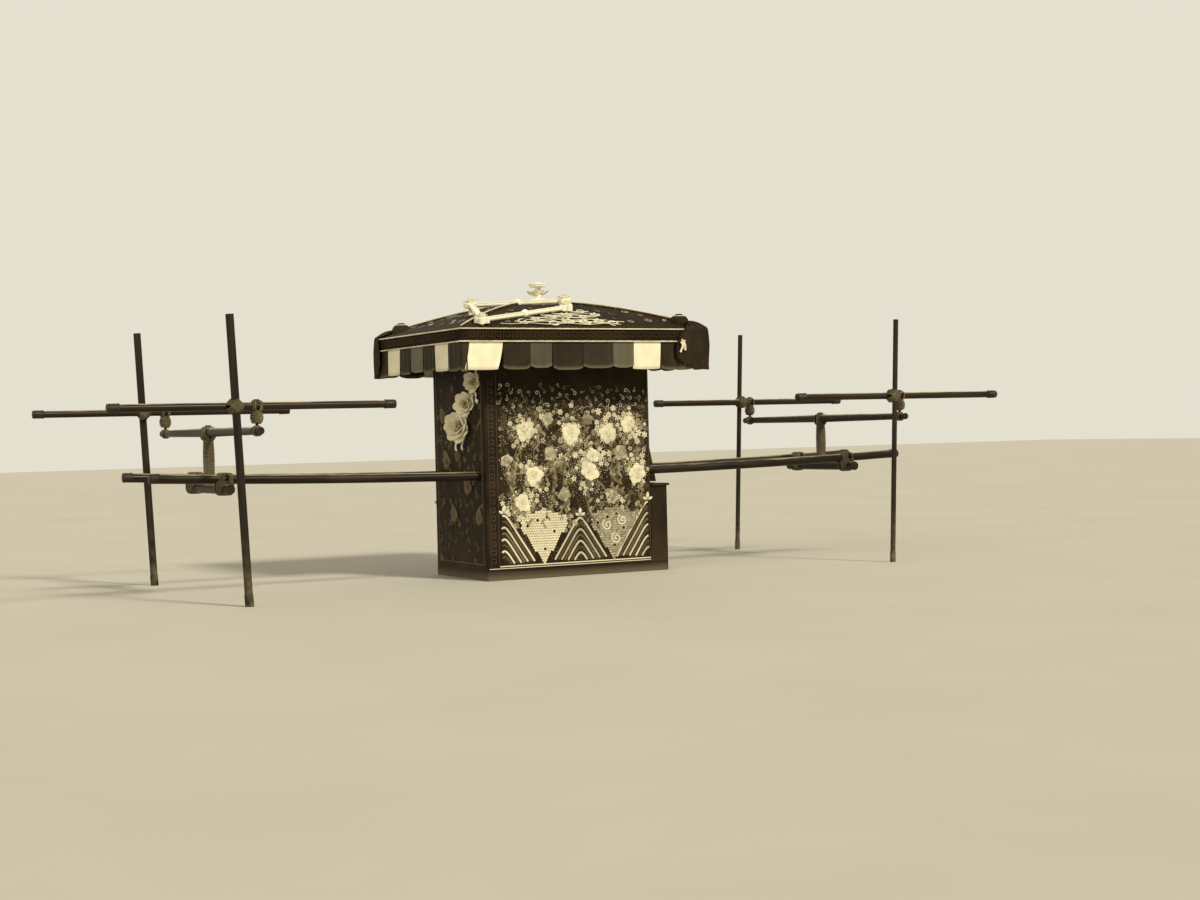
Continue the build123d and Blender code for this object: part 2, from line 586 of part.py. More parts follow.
# Crossbars: thick in the middle, with an upright pin at each end, and the rope hub that hangs each on its yoke
hub_bottom = yoke_z + YOKE_RADIUS + HUB_GAP
crossbar_tip = CROSSBAR_HALF + CROSSBAR_END
shoulder_pin_top = SHOULDER_HEIGHT + SHOULDER_RADIUS + PIN_HEAD_GAP
for end, where in ENDS:
    with BuildPart() as crossbar:
        with BuildSketch(Plane(origin=(end * YOKE_X, 0, CROSSBAR_HEIGHT), x_dir=(0, 1, 0), z_dir=(1, 0, 0))):
            with BuildLine():
                Polyline(
                    (-crossbar_tip, 0),
                    (-crossbar_tip, CROSSBAR_TIP_RADIUS),
                    (-HUB_RADIUS, CROSSBAR_RADIUS),
                    (HUB_RADIUS, CROSSBAR_RADIUS),
                    (crossbar_tip, CROSSBAR_TIP_RADIUS),
                    (crossbar_tip, 0),
                    close=True,
                )
            make_face()
        revolve(axis=Axis((end * YOKE_X, 0, CROSSBAR_HEIGHT), (0, 1, 0)))
        with BuildSketch(Plane.XY.offset(CROSSBAR_HEIGHT - 2 * CROSSBAR_RADIUS)):
            with Locations((end * YOKE_X, 0)):
                Circle(PIN_RADIUS + PIN_CLEARANCE)
        extrude(amount=4 * CROSSBAR_RADIUS, mode=Mode.SUBTRACT)
        for side in (-1, 1):
            with BuildSketch(Plane.XY.offset(CROSSBAR_HEIGHT)):
                with Locations((end * YOKE_X, side * CROSSBAR_HALF)):
                    Circle(SHOULDER_PIN_RADIUS)
            extrude(amount=shoulder_pin_top + PIN_HEAD - CROSSBAR_HEIGHT)
            with BuildSketch(Plane.XY.offset(shoulder_pin_top)):
                with Locations((end * YOKE_X, side * CROSSBAR_HALF)):
                    Circle(SHOULDER_PIN_RADIUS + PIN_HEAD_OVERLAP)
            extrude(amount=PIN_HEAD)
    keep(crossbar.part, f"crossbar_{where}")

    with BuildPart() as hub:
        with BuildSketch(Plane.XY.offset(hub_bottom)):
            with Locations((end * YOKE_X, 0)):
                Circle(HUB_RADIUS)
                Circle(PIN_RADIUS + PIN_CLEARANCE, mode=Mode.SUBTRACT)
        extrude(amount=CROSSBAR_HEIGHT - hub_bottom)
        with BuildSketch(Plane(origin=(end * YOKE_X, -CROSSBAR_HALF, CROSSBAR_HEIGHT), z_dir=(0, 1, 0))):
            Circle(CROSSBAR_RADIUS + LASHING_GAP)
        extrude(amount=2 * CROSSBAR_HALF, mode=Mode.SUBTRACT)
    keep(hub.part, f"crossbar_sling_{where}")

# Shoulder poles with end ferrules, their slings, and the staffs lashed beside them
sling_bottom = CROSSBAR_HEIGHT + CROSSBAR_RADIUS + HUB_GAP
STAFF_SETBACKS = {"rear": STAFF_SETBACK_REAR, "front": STAFF_SETBACK_FRONT}
STAFF_RADII = {"rear": STAFF_RADIUS_REAR, "front": STAFF_RADIUS_FRONT}
for end, where in ENDS:
    for side, hand in ((-1, "right"), (1, "left")):
        sling_x = end * YOKE_X
        sling_y = side * CROSSBAR_HALF
        staff_x = sling_x - STAFF_SETBACKS[where]
        staff_radius = STAFF_RADII[where]
        staff_y = sling_y + side * (SHOULDER_RADIUS + staff_radius + LASHING_GAP)
        staff_way = Vector(end * sin(radians(STAFF_LEAN)), 0, cos(radians(STAFF_LEAN)))
        staff_foot = Vector(staff_x, staff_y, SHOULDER_HEIGHT) - staff_way * (SHOULDER_HEIGHT / staff_way.Z)

        with BuildPart() as shoulder_pole:
            with BuildSketch(Plane(origin=(sling_x - SHOULDER_HALF, sling_y, SHOULDER_HEIGHT), z_dir=(1, 0, 0))):
                Circle(FERRULE_RADIUS)
            extrude(amount=FERRULE_LENGTH)
            with BuildSketch(Plane(origin=(sling_x + SHOULDER_HALF, sling_y, SHOULDER_HEIGHT), z_dir=(-1, 0, 0))):
                Circle(FERRULE_RADIUS)
            extrude(amount=FERRULE_LENGTH)
            with BuildSketch(Plane(origin=(sling_x - SHOULDER_HALF, sling_y, SHOULDER_HEIGHT), z_dir=(1, 0, 0))):
                Circle(SHOULDER_RADIUS)
            extrude(amount=2 * SHOULDER_HALF)
            with BuildSketch(Plane.XY.offset(SHOULDER_HEIGHT - 2 * SHOULDER_RADIUS)):
                with Locations((sling_x, sling_y)):
                    Circle(SHOULDER_PIN_RADIUS + PIN_CLEARANCE)
            extrude(amount=4 * SHOULDER_RADIUS, mode=Mode.SUBTRACT)
        keep(shoulder_pole.part, f"shoulder_pole_{where}_{hand}")

        with BuildPart() as sling:
            with BuildSketch(Plane.XY.offset(sling_bottom)):
                with Locations((sling_x, sling_y)):
                    Circle(SLING_RADIUS)
                    Circle(SHOULDER_PIN_RADIUS + PIN_CLEARANCE, mode=Mode.SUBTRACT)
            extrude(amount=SHOULDER_HEIGHT - sling_bottom)
            staff_band = staff_radius + LASHING
            pole_band = SHOULDER_RADIUS + LASHING
            with BuildSketch(Plane.YZ.offset(staff_x - LASHING_LENGTH / 2)):
                with Locations(((staff_y + sling_y) / 2, SHOULDER_HEIGHT)):
                    RectangleRounded(abs(staff_y - sling_y) + staff_band + pole_band, 2 * pole_band, pole_band / 2)
            extrude(amount=LASHING_LENGTH)
            with BuildSketch(Plane(origin=(sling_x - SHOULDER_HALF, sling_y, SHOULDER_HEIGHT), z_dir=(1, 0, 0))):
                Circle(SHOULDER_RADIUS + LASHING_GAP / 2)
            extrude(amount=2 * SHOULDER_HALF, mode=Mode.SUBTRACT)
            with BuildSketch(Plane(origin=staff_foot, x_dir=(0, 1, 0), z_dir=staff_way)):
                Circle(staff_radius + LASHING_GAP / 2)
            extrude(amount=STAFF_TOP, mode=Mode.SUBTRACT)
        keep(sling.part, f"sling_{where}_{hand}")

        with BuildPart() as staff:
            under_foot = Plane(origin=staff_foot - staff_way * staff_radius, x_dir=(0, 1, 0), z_dir=staff_way)
            with BuildSketch(under_foot):
                Circle(staff_radius)
            extrude(amount=STAFF_TOP + staff_radius)
            with BuildSketch(under_foot):
                Circle(staff_radius + STAFF_SHOE)
            extrude(amount=FERRULE_LENGTH + staff_radius)
            split(bisect_by=Plane.XY, keep=Keep.TOP)
        keep(staff.part, f"staff_{where}_{hand}")

# Rod, eyes and curtain
rod_x = half_length + ROD_RADIUS + ROD_GAP
eye_radius = ROD_RADIUS + PIN_CLEARANCE + EYE_WALL
eye_y = curtain_half - EYE_INSET
with BuildPart() as curtain_eyes:
    for side in (-1, 1):
        with BuildSketch(Plane.XZ.offset(-side * eye_y - EYE_WIDTH / 2)):
            with Locations((rod_x, rod_height)):
                Circle(eye_radius)
            with Locations(((half_length + rod_x) / 2, rod_height)):
                Rectangle(rod_x - half_length, 2 * eye_radius)
            with Locations((rod_x, rod_height)):
                Circle(ROD_RADIUS + PIN_CLEARANCE, mode=Mode.SUBTRACT)
            with Locations((half_length - eye_radius, rod_height)):
                Rectangle(2 * eye_radius, 4 * eye_radius, mode=Mode.SUBTRACT)
        extrude(amount=EYE_WIDTH)
keep(curtain_eyes.part, "curtain_eyes")

curtain_end_x = base_front - CURTAIN_HEM_GAP
curtain_end_z = APRON_TOP + SHELF + CURTAIN_HEM_GAP
half_cloth = CURTAIN_THICKNESS / 2
with BuildPart() as front_curtain:
    with BuildSketch(Plane.XZ.offset(-curtain_half)):
        with BuildLine():
            Polyline(
                (rod_x - half_cloth, rod_height),
                (rod_x - half_cloth, CURTAIN_BREAK),
                (curtain_end_x - half_cloth, curtain_end_z),
                (curtain_end_x + half_cloth, curtain_end_z),
                (rod_x + half_cloth, CURTAIN_BREAK),
                (rod_x + half_cloth, rod_height),
                close=True,
            )
        make_face()
        with Locations((rod_x, rod_height)):
            Circle(ROD_RADIUS)
    extrude(amount=2 * curtain_half)
    for side in (-1, 1):
        slot = EYE_WIDTH + 2 * CURTAIN_GAP
        with BuildSketch(Plane.XZ.offset(-side * eye_y - slot / 2)):
            with Locations((rod_x, rod_height)):
                Circle(eye_radius + CURTAIN_GAP)
        extrude(amount=slot, mode=Mode.SUBTRACT)
    with BuildSketch(Plane.XZ.offset(-curtain_half)):
        with Locations((rod_x, rod_height)):
            Circle(ROD_RADIUS)
    extrude(amount=2 * curtain_half)
keep(front_curtain.part, "front_curtain")

# Three silk rosettes on a ribbon across the rear face
ribbon_points = [(GARLAND[0][0] - RIBBON_LEAD, GARLAND[0][1] + RIBBON_LEAD)]
ribbon_points += [(y, z) for y, z, radius in GARLAND]
with BuildPart() as rear_garland:
    with BuildSketch(Plane(origin=(-half_length, 0, 0), x_dir=(0, -1, 0), z_dir=(-1, 0, 0))):
        with BuildLine():
            Polyline([(-y, z) for y, z in ribbon_points])
        trace(line_width=RIBBON_WIDTH)
    extrude(amount=RIBBON_THICKNESS)
    with BuildSketch(Plane(origin=(-half_length, 0, 0), x_dir=(0, -1, 0), z_dir=(-1, 0, 0))):
        for y, z, radius in GARLAND:
            with Locations((-y, z)):
                with PolarLocations(radius * 0.6, GARLAND_PETALS):
                    Circle(radius * 0.4)
                Circle(radius * 0.6)
    extrude(amount=GARLAND_BACK)
    with BuildSketch(Plane(origin=(-half_length, 0, 0), x_dir=(0, -1, 0), z_dir=(-1, 0, 0))):
        for y, z, radius in GARLAND:
            with Locations((-y, z)):
                with PolarLocations(radius * 0.34, GARLAND_PETALS, start_angle=180 / GARLAND_PETALS):
                    Circle(radius * 0.26)
                Circle(radius * 0.34)
    extrude(amount=GARLAND_THICKNESS)
keep(rear_garland.part, "rear_garland")
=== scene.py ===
"""A wedding palanquin for eight bearers: embroidered cabin, hip roof with a white crown rail, and its carrying rig.

Metres. X is forward, Y is to the passenger's left, Z is up, as in the frame.
"""

import json
import math
import random
from itertools import product

import bmesh
import bpy
import numpy as np
from mathutils import Matrix, Vector


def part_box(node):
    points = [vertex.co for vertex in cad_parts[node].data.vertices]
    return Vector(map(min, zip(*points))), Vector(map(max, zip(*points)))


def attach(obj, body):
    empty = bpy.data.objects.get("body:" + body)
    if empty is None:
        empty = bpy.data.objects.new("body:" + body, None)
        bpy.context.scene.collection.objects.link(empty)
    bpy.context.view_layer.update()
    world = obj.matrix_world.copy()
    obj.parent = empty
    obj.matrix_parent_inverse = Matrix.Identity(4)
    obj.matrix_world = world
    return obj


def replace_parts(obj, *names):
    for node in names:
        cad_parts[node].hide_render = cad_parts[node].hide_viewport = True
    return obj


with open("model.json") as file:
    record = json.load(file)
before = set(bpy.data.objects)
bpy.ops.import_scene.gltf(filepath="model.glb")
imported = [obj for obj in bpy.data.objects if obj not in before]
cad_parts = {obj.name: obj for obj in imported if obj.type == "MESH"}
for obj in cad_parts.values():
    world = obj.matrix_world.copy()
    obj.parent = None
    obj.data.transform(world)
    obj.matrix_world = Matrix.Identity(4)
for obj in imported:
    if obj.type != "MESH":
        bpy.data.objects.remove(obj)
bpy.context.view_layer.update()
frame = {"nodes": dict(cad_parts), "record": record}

FULL = 2.0 * math.pi
AHEAD, LEFT, UP = np.eye(3)
BACK, RIGHT = -AHEAD, -LEFT
ENDS = ((1.0, "front"), (-1.0, "rear"))
SIDES = ((-1.0, "right"), (1.0, "left"))
SIGNS = tuple(product((-1.0, 1.0), repeat=2))

# The CAD's own faces and middles that the dressing lies on, in metres
EAVE_X, EAVE_Y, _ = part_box("roof_shell")[1]
EAVE_TOP = 1.410
FASCIA_TOP, FASCIA_BOTTOM = 1.408, 1.338
ROOF_RISE = 0.190
ROOF_CAMBER = 0.034
RIB_TOP = 0.008                # how far the rib along each hip stands over the roof
KNOT_PLACE = (0.663, 0.507)    # the silk knots, with their corners' signs
KNOT_CORNERS = ((1.0, -1.0), (1.0, 1.0), (-1.0, 1.0))
BARE_CORNER = (-1.0, -1.0)     # the corner that has no knot
KNOT_Z = 1.449
CROWN_FOOT = (0.075, 0.058)    # where the hips reach the finial's foot
PANEL_FACE = -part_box("side_panel_right")[0].y
REAR_FACE = -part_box("rear_panel")[0].x
CLOTH_PROUD = 0.0010           # embroidery stands this far off its ground
YOKE_X = 2.02                  # the yokes' pins, along the poles
MAIN_POLE_Y = 0.263
END_PIN_Y = 0.82               # the crossbars' end pins, which carry the shoulder poles
SHOULDER_Z = 1.0               # middle of the shoulder poles
CROSSBAR_Z = 0.868             # the crossbars' middle at the yokes' pins
STAFF_X = {"front": 1.96, "rear": -2.14}      # the staffs' middles
WALL_HOLE_Z = 0.60             # where the main poles go through the rear wall
CURTAIN_ROD_X = 0.547

# The photograph's view, fitted on the cabin's corners, the poles and the finial
LENS_PIXELS, FRAME_WIDTH, SENSOR_WIDTH = 1876.5, 1200.0, 36.0
CAMERA_PLACE = Vector((-5.062, -9.900, 0.845))
CAMERA_YAW, CAMERA_PITCH, CAMERA_ROLL = (math.radians(a) for a in (28.86, -0.656, 1.399))

# Tones of the whole object, warm like its photograph
INK = (0.011, 0.007, 0.003)
BROWN = (0.030, 0.019, 0.008)
UMBER = (0.100, 0.069, 0.030)
DUSK = (0.170, 0.125, 0.062)
GREY = (0.235, 0.195, 0.110)
DRAB = (0.340, 0.290, 0.160)
STRAW = (0.470, 0.385, 0.180)
IVORY = (0.780, 0.705, 0.450)
CREAM = (0.880, 0.815, 0.560)
CHALK = (0.900, 0.855, 0.670)


def link(obj):
    bpy.context.scene.collection.objects.link(obj)
    return obj


def make_camera():
    data = bpy.data.cameras.new("photo_view")
    data.sensor_width = SENSOR_WIDTH
    data.lens = LENS_PIXELS / FRAME_WIDTH * SENSOR_WIDTH
    camera = link(bpy.data.objects.new("photo_view", data))
    yaw, pitch, roll = (Matrix.Rotation(angle, 4, axis) for angle, axis in (
        (-CAMERA_YAW, "Z"), (math.pi / 2.0 + CAMERA_PITCH, "X"), (-CAMERA_ROLL, "Z")))
    camera.matrix_world = Matrix.Translation(CAMERA_PLACE) @ yaw @ pitch @ roll
    bpy.context.scene.camera = camera


def make_lamp(name, place, aim, width, strength, colour):
    """A far lamp, width degrees across: it shines evenly over the whole floor, from place towards aim."""
    data = bpy.data.lights.new(name, "SUN")
    data.angle = math.radians(width)
    data.energy = strength
    data.color = colour
    lamp = link(bpy.data.objects.new(name, data))
    lamp.location = place
    lamp.rotation_euler = (Vector(aim) - Vector(place)).to_track_quat("-Z", "Y").to_euler()


class Nodes:
    """A node tree being built: each call adds nodes and gives back the socket that carries their result."""

    def plug(self, socket, value):
        if isinstance(value, bpy.types.NodeSocket):
            self.tree.links.new(value, socket)
        else:
            socket.default_value = value

    def add(self, kind, inputs=(), out=0, **settings):
        node = self.tree.nodes.new(kind)
        for key, value in settings.items():
            setattr(node, key, value)
        for key, value in dict(inputs).items():
            self.plug(node.inputs[key], value)
        return node.outputs[out] if len(node.outputs) else None

    def math(self, operation, *values):
        return self.add("ShaderNodeMath", enumerate(values), operation=operation)

    def times(self, first, *others):
        for other in others:
            first = self.math("MULTIPLY", first, other)
        return first


class Paint(Nodes):
    """A material being mixed, on one Principled shader."""

    def __init__(self, name, roughness=0.6, specular=0.4, sheen=0.0, metallic=0.0):
        self.material = bpy.data.materials.new(name)
        self.material.use_nodes = True
        self.tree = self.material.node_tree
        self.tree.nodes.clear()
        self.shader = self.tree.nodes.new("ShaderNodeBsdfPrincipled")
        self.add("ShaderNodeOutputMaterial", {0: self.shader.outputs[0]})
        self.set({"Roughness": roughness, "Specular IOR Level": specular, "Sheen Weight": sheen,
                  "Metallic": metallic})
        self.place = self.add("ShaderNodeTexCoord", out="Object")

    def set(self, values):
        for name, value in values.items():
            self.plug(self.shader.inputs[name], value)

    def done(self, colour, normal, **others):
        """Plug in the colour and the bump, and give back the material."""
        self.set({"Base Color": colour, "Normal": normal, **others})
        return self.material

    def stretched(self, scale):
        return self.add("ShaderNodeMapping", {"Vector": self.place, "Scale": scale}) if scale else self.place

    def noise(self, scale, detail=3.0, rough=0.55, stretch=None, distortion=0.0):
        return self.add("ShaderNodeTexNoise", {"Vector": self.stretched(stretch), "Scale": scale, "Detail": detail,
                                               "Roughness": rough, "Distortion": distortion})

    def cells(self, scale, stretch=None):
        return self.add("ShaderNodeTexVoronoi", {"Vector": self.stretched(stretch), "Scale": scale},
                        out="Distance")

    def waves(self, pitch, direction="X", source=None, distortion=0.0, detail=0.0):
        return self.add("ShaderNodeTexWave", {"Vector": source or self.place, "Scale": math.pi / (10.0 * pitch),
                                              "Distortion": distortion, "Detail": detail},
                        out="Fac", bands_direction=direction)

    def axis(self, letter, source=None):
        return self.add("ShaderNodeSeparateXYZ", {0: source or self.place}, out=letter)

    def fade(self, value, low, high, to_low=0.0, to_high=1.0, kind="LINEAR"):
        return self.add("ShaderNodeMapRange", {0: value, 1: low, 2: high, 3: to_low, 4: to_high},
                        interpolation_type=kind)

    def mix(self, share, first, second):
        first, second = (v if isinstance(v, bpy.types.NodeSocket) else (*v, 1.0) for v in (first, second))
        return self.add("ShaderNodeMix", {0: share, 6: first, 7: second}, out=2, data_type="RGBA")

    def clouded(self, scale, dark, light, low=0.35, high=0.7, detail=4.0, stretch=None):
        """Two tones mixed by a soft noise."""
        return self.mix(self.fade(self.noise(scale, detail, stretch=stretch), low, high), dark, light)

    def attribute(self, name):
        return self.add("ShaderNodeAttribute", out="Fac", attribute_name=name)

    def uv(self):
        return self.add("ShaderNodeUVMap", uv_map="thread")

    def bump(self, height, strength, depth, under=None):
        normal = {} if under is None else {"Normal": under}
        return self.add("ShaderNodeBump", {"Height": height, "Strength": strength, "Distance": depth, **normal})

    def weave(self, pitch, strength, under):
        """Bump of a plain weave: fine threads both ways, broken up a little."""
        warp, weft, along = (self.waves(pitch, way, distortion=0.6, detail=1.0) for way in "XZY")
        return self.bump(self.math("ADD", self.times(warp, weft), along), strength, 0.0004, under)

    def flat_weave(self, pitch):
        """The same on a cloth's own UVs."""
        warp, weft = (self.waves(pitch, way, source=self.uv(), distortion=0.5) for way in "XY")
        return self.bump(self.math("ADD", warp, weft), 0.35, 0.0004)


def dark_satin():
    """Near-black satin of the cabin's walls, faintly mottled and dusty along its foot."""
    paint = Paint("dark_satin", roughness=0.62, specular=0.10)
    slub = paint.noise(60.0, stretch=(1.0, 1.0, 0.12))
    tone = paint.mix(paint.fade(slub, 0.55, 0.85, 0.0, 0.22), paint.clouded(5.0, INK, BROWN), UMBER)
    dust = paint.fade(paint.axis("Z"), 0.06, 0.24, 0.18, 0.0)
    folds = paint.bump(paint.noise(9.0, 2.0, stretch=(1.0, 1.0, 0.3)), 0.25, 0.01)
    return paint.done(paint.mix(dust, tone, UMBER), paint.weave(0.0022, 0.35, folds))


def embroidered_ground():
    """The side panel's ground: dark satin with couched background stitches too small to model."""
    paint = Paint("embroidered_ground", roughness=0.62, specular=0.10)
    seeds = paint.cells(150.0)
    patch = paint.fade(paint.noise(11.0, rough=0.6), 0.42, 0.56)
    high = paint.fade(paint.axis("Z"), 0.95, 1.08, 1.0, 0.25, "SMOOTHSTEP")
    low = paint.fade(paint.axis("Z"), 0.06, 0.10, 0.0, 1.0, "SMOOTHSTEP")
    off_middle = paint.math("ABSOLUTE", paint.math("SUBTRACT", paint.axis("X"), 0.045))
    inside = paint.fade(off_middle, 0.46, 0.49, 1.0, 0.0)
    share = paint.times(paint.fade(seeds, 0.30, 0.16), patch, inside, high, low, 0.75)
    stitches = paint.bump(paint.math("SUBTRACT", 1.0, seeds), 0.3, 0.0006)
    return paint.done(paint.mix(share, paint.clouded(6.0, INK, BROWN), STRAW), paint.weave(0.0022, 0.3, stitches))


def silk_thread(name, shade, light, cleanness):
    """Satin-stitched silk: lines of thread along each petal, and a tone of its own for each motif."""
    paint = Paint(name, roughness=0.55, specular=0.12)
    uv = paint.uv()
    lines = paint.waves(0.1, source=uv, distortion=0.8)
    across = paint.axis("Y", uv)
    tone = paint.math("ADD", paint.attribute("tone"), paint.attribute("mood"))
    base = paint.mix(paint.fade(tone, 0.14, 0.80, kind="SMOOTHSTEP"), shade, light)
    base = paint.mix(paint.fade(across, 0.05, 0.45, 0.85, 0.0), base, shade)
    base = paint.mix(paint.fade(tone, -0.35, 0.18, 0.95, 0.0), base, INK)
    off_middle = paint.math("ABSOLUTE", paint.math("SUBTRACT", paint.axis("X", uv), 0.5))
    edge = paint.times(paint.fade(off_middle, 0.40, 0.48), paint.fade(off_middle, 0.52, 0.54, 1.0, 0.0), across, 0.85)
    base = paint.mix(edge, base, BROWN)
    base = paint.mix(paint.fade(paint.noise(14.0, 4.0), 0.35, 0.7, 1.0 - cleanness, 0.0), base, BROWN)
    return paint.done(paint.mix(paint.fade(lines, 0.0, 0.35, 0.22, 0.0), base, UMBER),
                      paint.bump(lines, 0.5, 0.0008))


def lacquered_pole():
    """Dark brown lacquer with a pale painted highlight along the upward-facing top, broken into ragged patches."""
    paint = Paint("lacquered_pole", roughness=0.42, specular=0.13)
    grain = paint.noise(26.0, 4.0, stretch=(0.06, 1.0, 1.0), distortion=0.4)
    tone = paint.mix(paint.fade(grain, 0.35, 0.7), (0.012, 0.008, 0.005), (0.036, 0.023, 0.012))
    # painted highlight: where the surface faces up it is mixed towards pale straw, in ragged patches
    up = paint.axis("Z", paint.add("ShaderNodeNewGeometry", out="Normal"))
    highlight_break = paint.noise(45.0, 4.0, rough=0.7, stretch=(0.12, 1.0, 1.0))
    ragged = paint.math("ADD", up, paint.fade(highlight_break, 0.3, 0.7, -0.16, 0.10))
    patches = paint.fade(paint.noise(4.0, 5.0, rough=0.7, stretch=(0.5, 1.0, 1.0)), 0.36, 0.52)
    top_highlight = paint.times(paint.fade(ragged, 0.63, 0.92, kind="SMOOTHSTEP"), patches, 0.8)
    nicks = paint.times(paint.fade(paint.cells(75.0, stretch=(0.3, 1.0, 1.0)), 0.10, 0.04), 0.4)
    return paint.done(paint.mix(nicks, paint.mix(top_highlight, tone, STRAW), UMBER), paint.bump(grain, 0.25, 0.0012),
                      Roughness=paint.fade(grain, 0.3, 0.7, 0.26, 0.48))


def staff_wood():
    """Oiled hardwood of the staffs, scuffed and dusty towards the foot."""
    paint = Paint("staff_wood", roughness=0.6, specular=0.14)
    grain = paint.noise(30.0, 5.0, stretch=(1.0, 1.0, 0.05), distortion=0.5)
    tone = paint.mix(paint.fade(grain, 0.3, 0.7), (0.010, 0.007, 0.005), (0.034, 0.023, 0.013))
    dust = paint.times(paint.fade(paint.axis("Z"), 0.0, 0.35, 0.6, 0.0),
                       paint.fade(paint.noise(18.0, 4.0), 0.35, 0.65))
    return paint.done(paint.mix(dust, tone, GREY), paint.bump(grain, 0.35, 0.0012))


def dark_wood():
    """Frame timber under old dark lacquer, dusty at the very foot."""
    paint = Paint("dark_wood", roughness=0.5, specular=0.12)
    grain = paint.noise(24.0, 5.0, stretch=(0.08, 1.0, 1.0), distortion=0.4)
    tone = paint.mix(paint.fade(grain, 0.3, 0.7), (0.012, 0.008, 0.005), (0.040, 0.027, 0.014))
    dust = paint.fade(paint.axis("Z"), 0.0, 0.05, 0.5, 0.0)
    return paint.done(paint.mix(dust, tone, GREY), paint.bump(grain, 0.3, 0.001))


def roof_brocade():
    """Dark figured silk stretched over the roof, with a small woven lattice."""
    paint = Paint("roof_brocade", roughness=0.8, specular=0.05, sheen=0.02)
    cell = 0.026
    east, north = paint.axis("X"), paint.axis("Y")
    rays = [paint.math("PINGPONG", paint.math(way, east, north), cell) for way in ("ADD", "SUBTRACT")]
    lines = paint.times(paint.fade(paint.math("MINIMUM", *rays), 0.0010, 0.0022, 1.0, 0.0),
                        paint.fade(paint.noise(9.0), 0.35, 0.65, 0.2, 1.0), 0.32)
    spots = paint.math("SUBTRACT", 2.0 * cell, paint.math("ADD", *rays))
    spots = paint.times(paint.fade(spots, 0.003, 0.006, 1.0, 0.0), 0.4)
    tone = paint.mix(spots, paint.mix(lines, paint.clouded(4.0, INK, BROWN), GREY), STRAW)
    return paint.done(tone, paint.weave(0.0026, 0.3, paint.bump(paint.noise(7.0, 2.0), 0.3, 0.012)))


def fascia_cloth():
    """Near-black cloth round the eave, with a few pale threads."""
    paint = Paint("fascia_cloth", roughness=0.75, specular=0.06)
    threads = paint.fade(paint.noise(90.0, 2.0), 0.62, 0.75, 0.0, 0.35)
    tone = paint.mix(threads, paint.clouded(6.0, INK, BROWN, stretch=(1.0, 1.0, 0.4)), UMBER)
    return paint.done(tone, paint.weave(0.0024, 0.3, paint.bump(paint.noise(10.0, 2.0), 0.3, 0.01)))


def white_metal():
    """Silvered ornament metal, bright on the high places and tarnished in the hollows."""
    paint = Paint("white_metal", roughness=0.4, specular=0.4)
    blotch = paint.noise(22.0, 5.0, rough=0.65)
    tone = paint.mix(paint.fade(blotch, 0.30, 0.46), IVORY, CHALK)
    pits = paint.times(paint.fade(paint.cells(160.0), 0.22, 0.08), 0.35)
    return paint.done(paint.mix(pits, tone, UMBER), paint.bump(blotch, 0.3, 0.0012),
                      Roughness=paint.fade(blotch, 0.35, 0.7, 0.5, 0.28))


def dark_iron():
    """Forged strap iron with a hammered skin and a breath of rust."""
    paint = Paint("dark_iron", roughness=0.55, metallic=0.45)
    rust = paint.noise(30.0, 5.0, rough=0.7)
    tone = paint.mix(paint.fade(rust, 0.5, 0.7), (0.022, 0.018, 0.013), (0.060, 0.034, 0.016))
    return paint.done(tone, paint.bump(paint.cells(70.0), 0.35, 0.0015),
                      Roughness=paint.fade(rust, 0.4, 0.7, 0.4, 0.75))


def rope_fibre(name, pale, deep):
    """Fibre of a rope or a cord, fuzzy and weathered. Its strands are in the mesh."""
    paint = Paint(name, roughness=0.85, specular=0.10, sheen=0.05)
    fibre = paint.noise(420.0)
    tone = paint.mix(paint.fade(fibre, 0.3, 0.6), deep, pale)
    return paint.done(paint.mix(paint.fade(paint.noise(12.0), 0.4, 0.7, 0.0, 0.6), tone, deep),
                      paint.bump(fibre, 0.5, 0.0006))


def silk_cloth(name, deep, pale, soil=0.35):
    """Plain silk with a fine weave, soft cloudy shading and a little grime."""
    paint = Paint(name, roughness=0.6, specular=0.10)
    grime = paint.fade(paint.noise(3.0, 5.0, rough=0.7), 0.48, 0.75, 0.0, soil)
    return paint.done(paint.mix(grime, paint.clouded(7.0, deep, pale, 0.3, 0.72), UMBER), paint.flat_weave(0.0018))


def valance_silk():
    """Silk of the valance's strips: each has its own tone, from near-black to white."""
    paint = Paint("valance_silk", roughness=0.6, specular=0.08)
    base = paint.mix(paint.attribute("tone"), paint.clouded(8.0, INK, BROWN, 0.3),
                     paint.clouded(10.0, IVORY, CHALK, 0.3))
    hem = paint.times(paint.fade(paint.axis("Y", paint.uv()), 0.0, 0.022, 1.0, 0.0), 0.5)
    return paint.done(paint.mix(hem, base, GREY), paint.flat_weave(0.0022))


# Every material by the record's slot name, with a few more for the dressing
PAINTS = {
    "dark_wood": dark_wood(), "lacquered_pole": lacquered_pole(), "staff_wood": staff_wood(),
    "embroidered_satin": embroidered_ground(), "dark_satin": dark_satin(), "roof_brocade": roof_brocade(),
    "fascia_cloth": fascia_cloth(), "white_metal": white_metal(), "dark_iron": dark_iron(),
    "hemp_rope": rope_fibre("hemp_rope", GREY, BROWN), "pale_cord": rope_fibre("pale_cord", CHALK, STRAW),
    "pale_curtain": silk_cloth("pale_curtain", STRAW, IVORY), "valance_cloth": valance_silk(),
    "dark_silk": silk_cloth("dark_silk", INK, BROWN), "white_silk": silk_cloth("white_silk", IVORY, CHALK, 0.25),
    "ivory_thread": silk_thread("ivory_thread", UMBER, CREAM, 0.85),
    "leaf_thread": silk_thread("leaf_thread", BROWN, DRAB, 0.7),
    "dim_thread": silk_thread("dim_thread", BROWN, DUSK, 0.5),
    "garland_silk": silk_thread("garland_silk", STRAW, CHALK, 0.9),
}


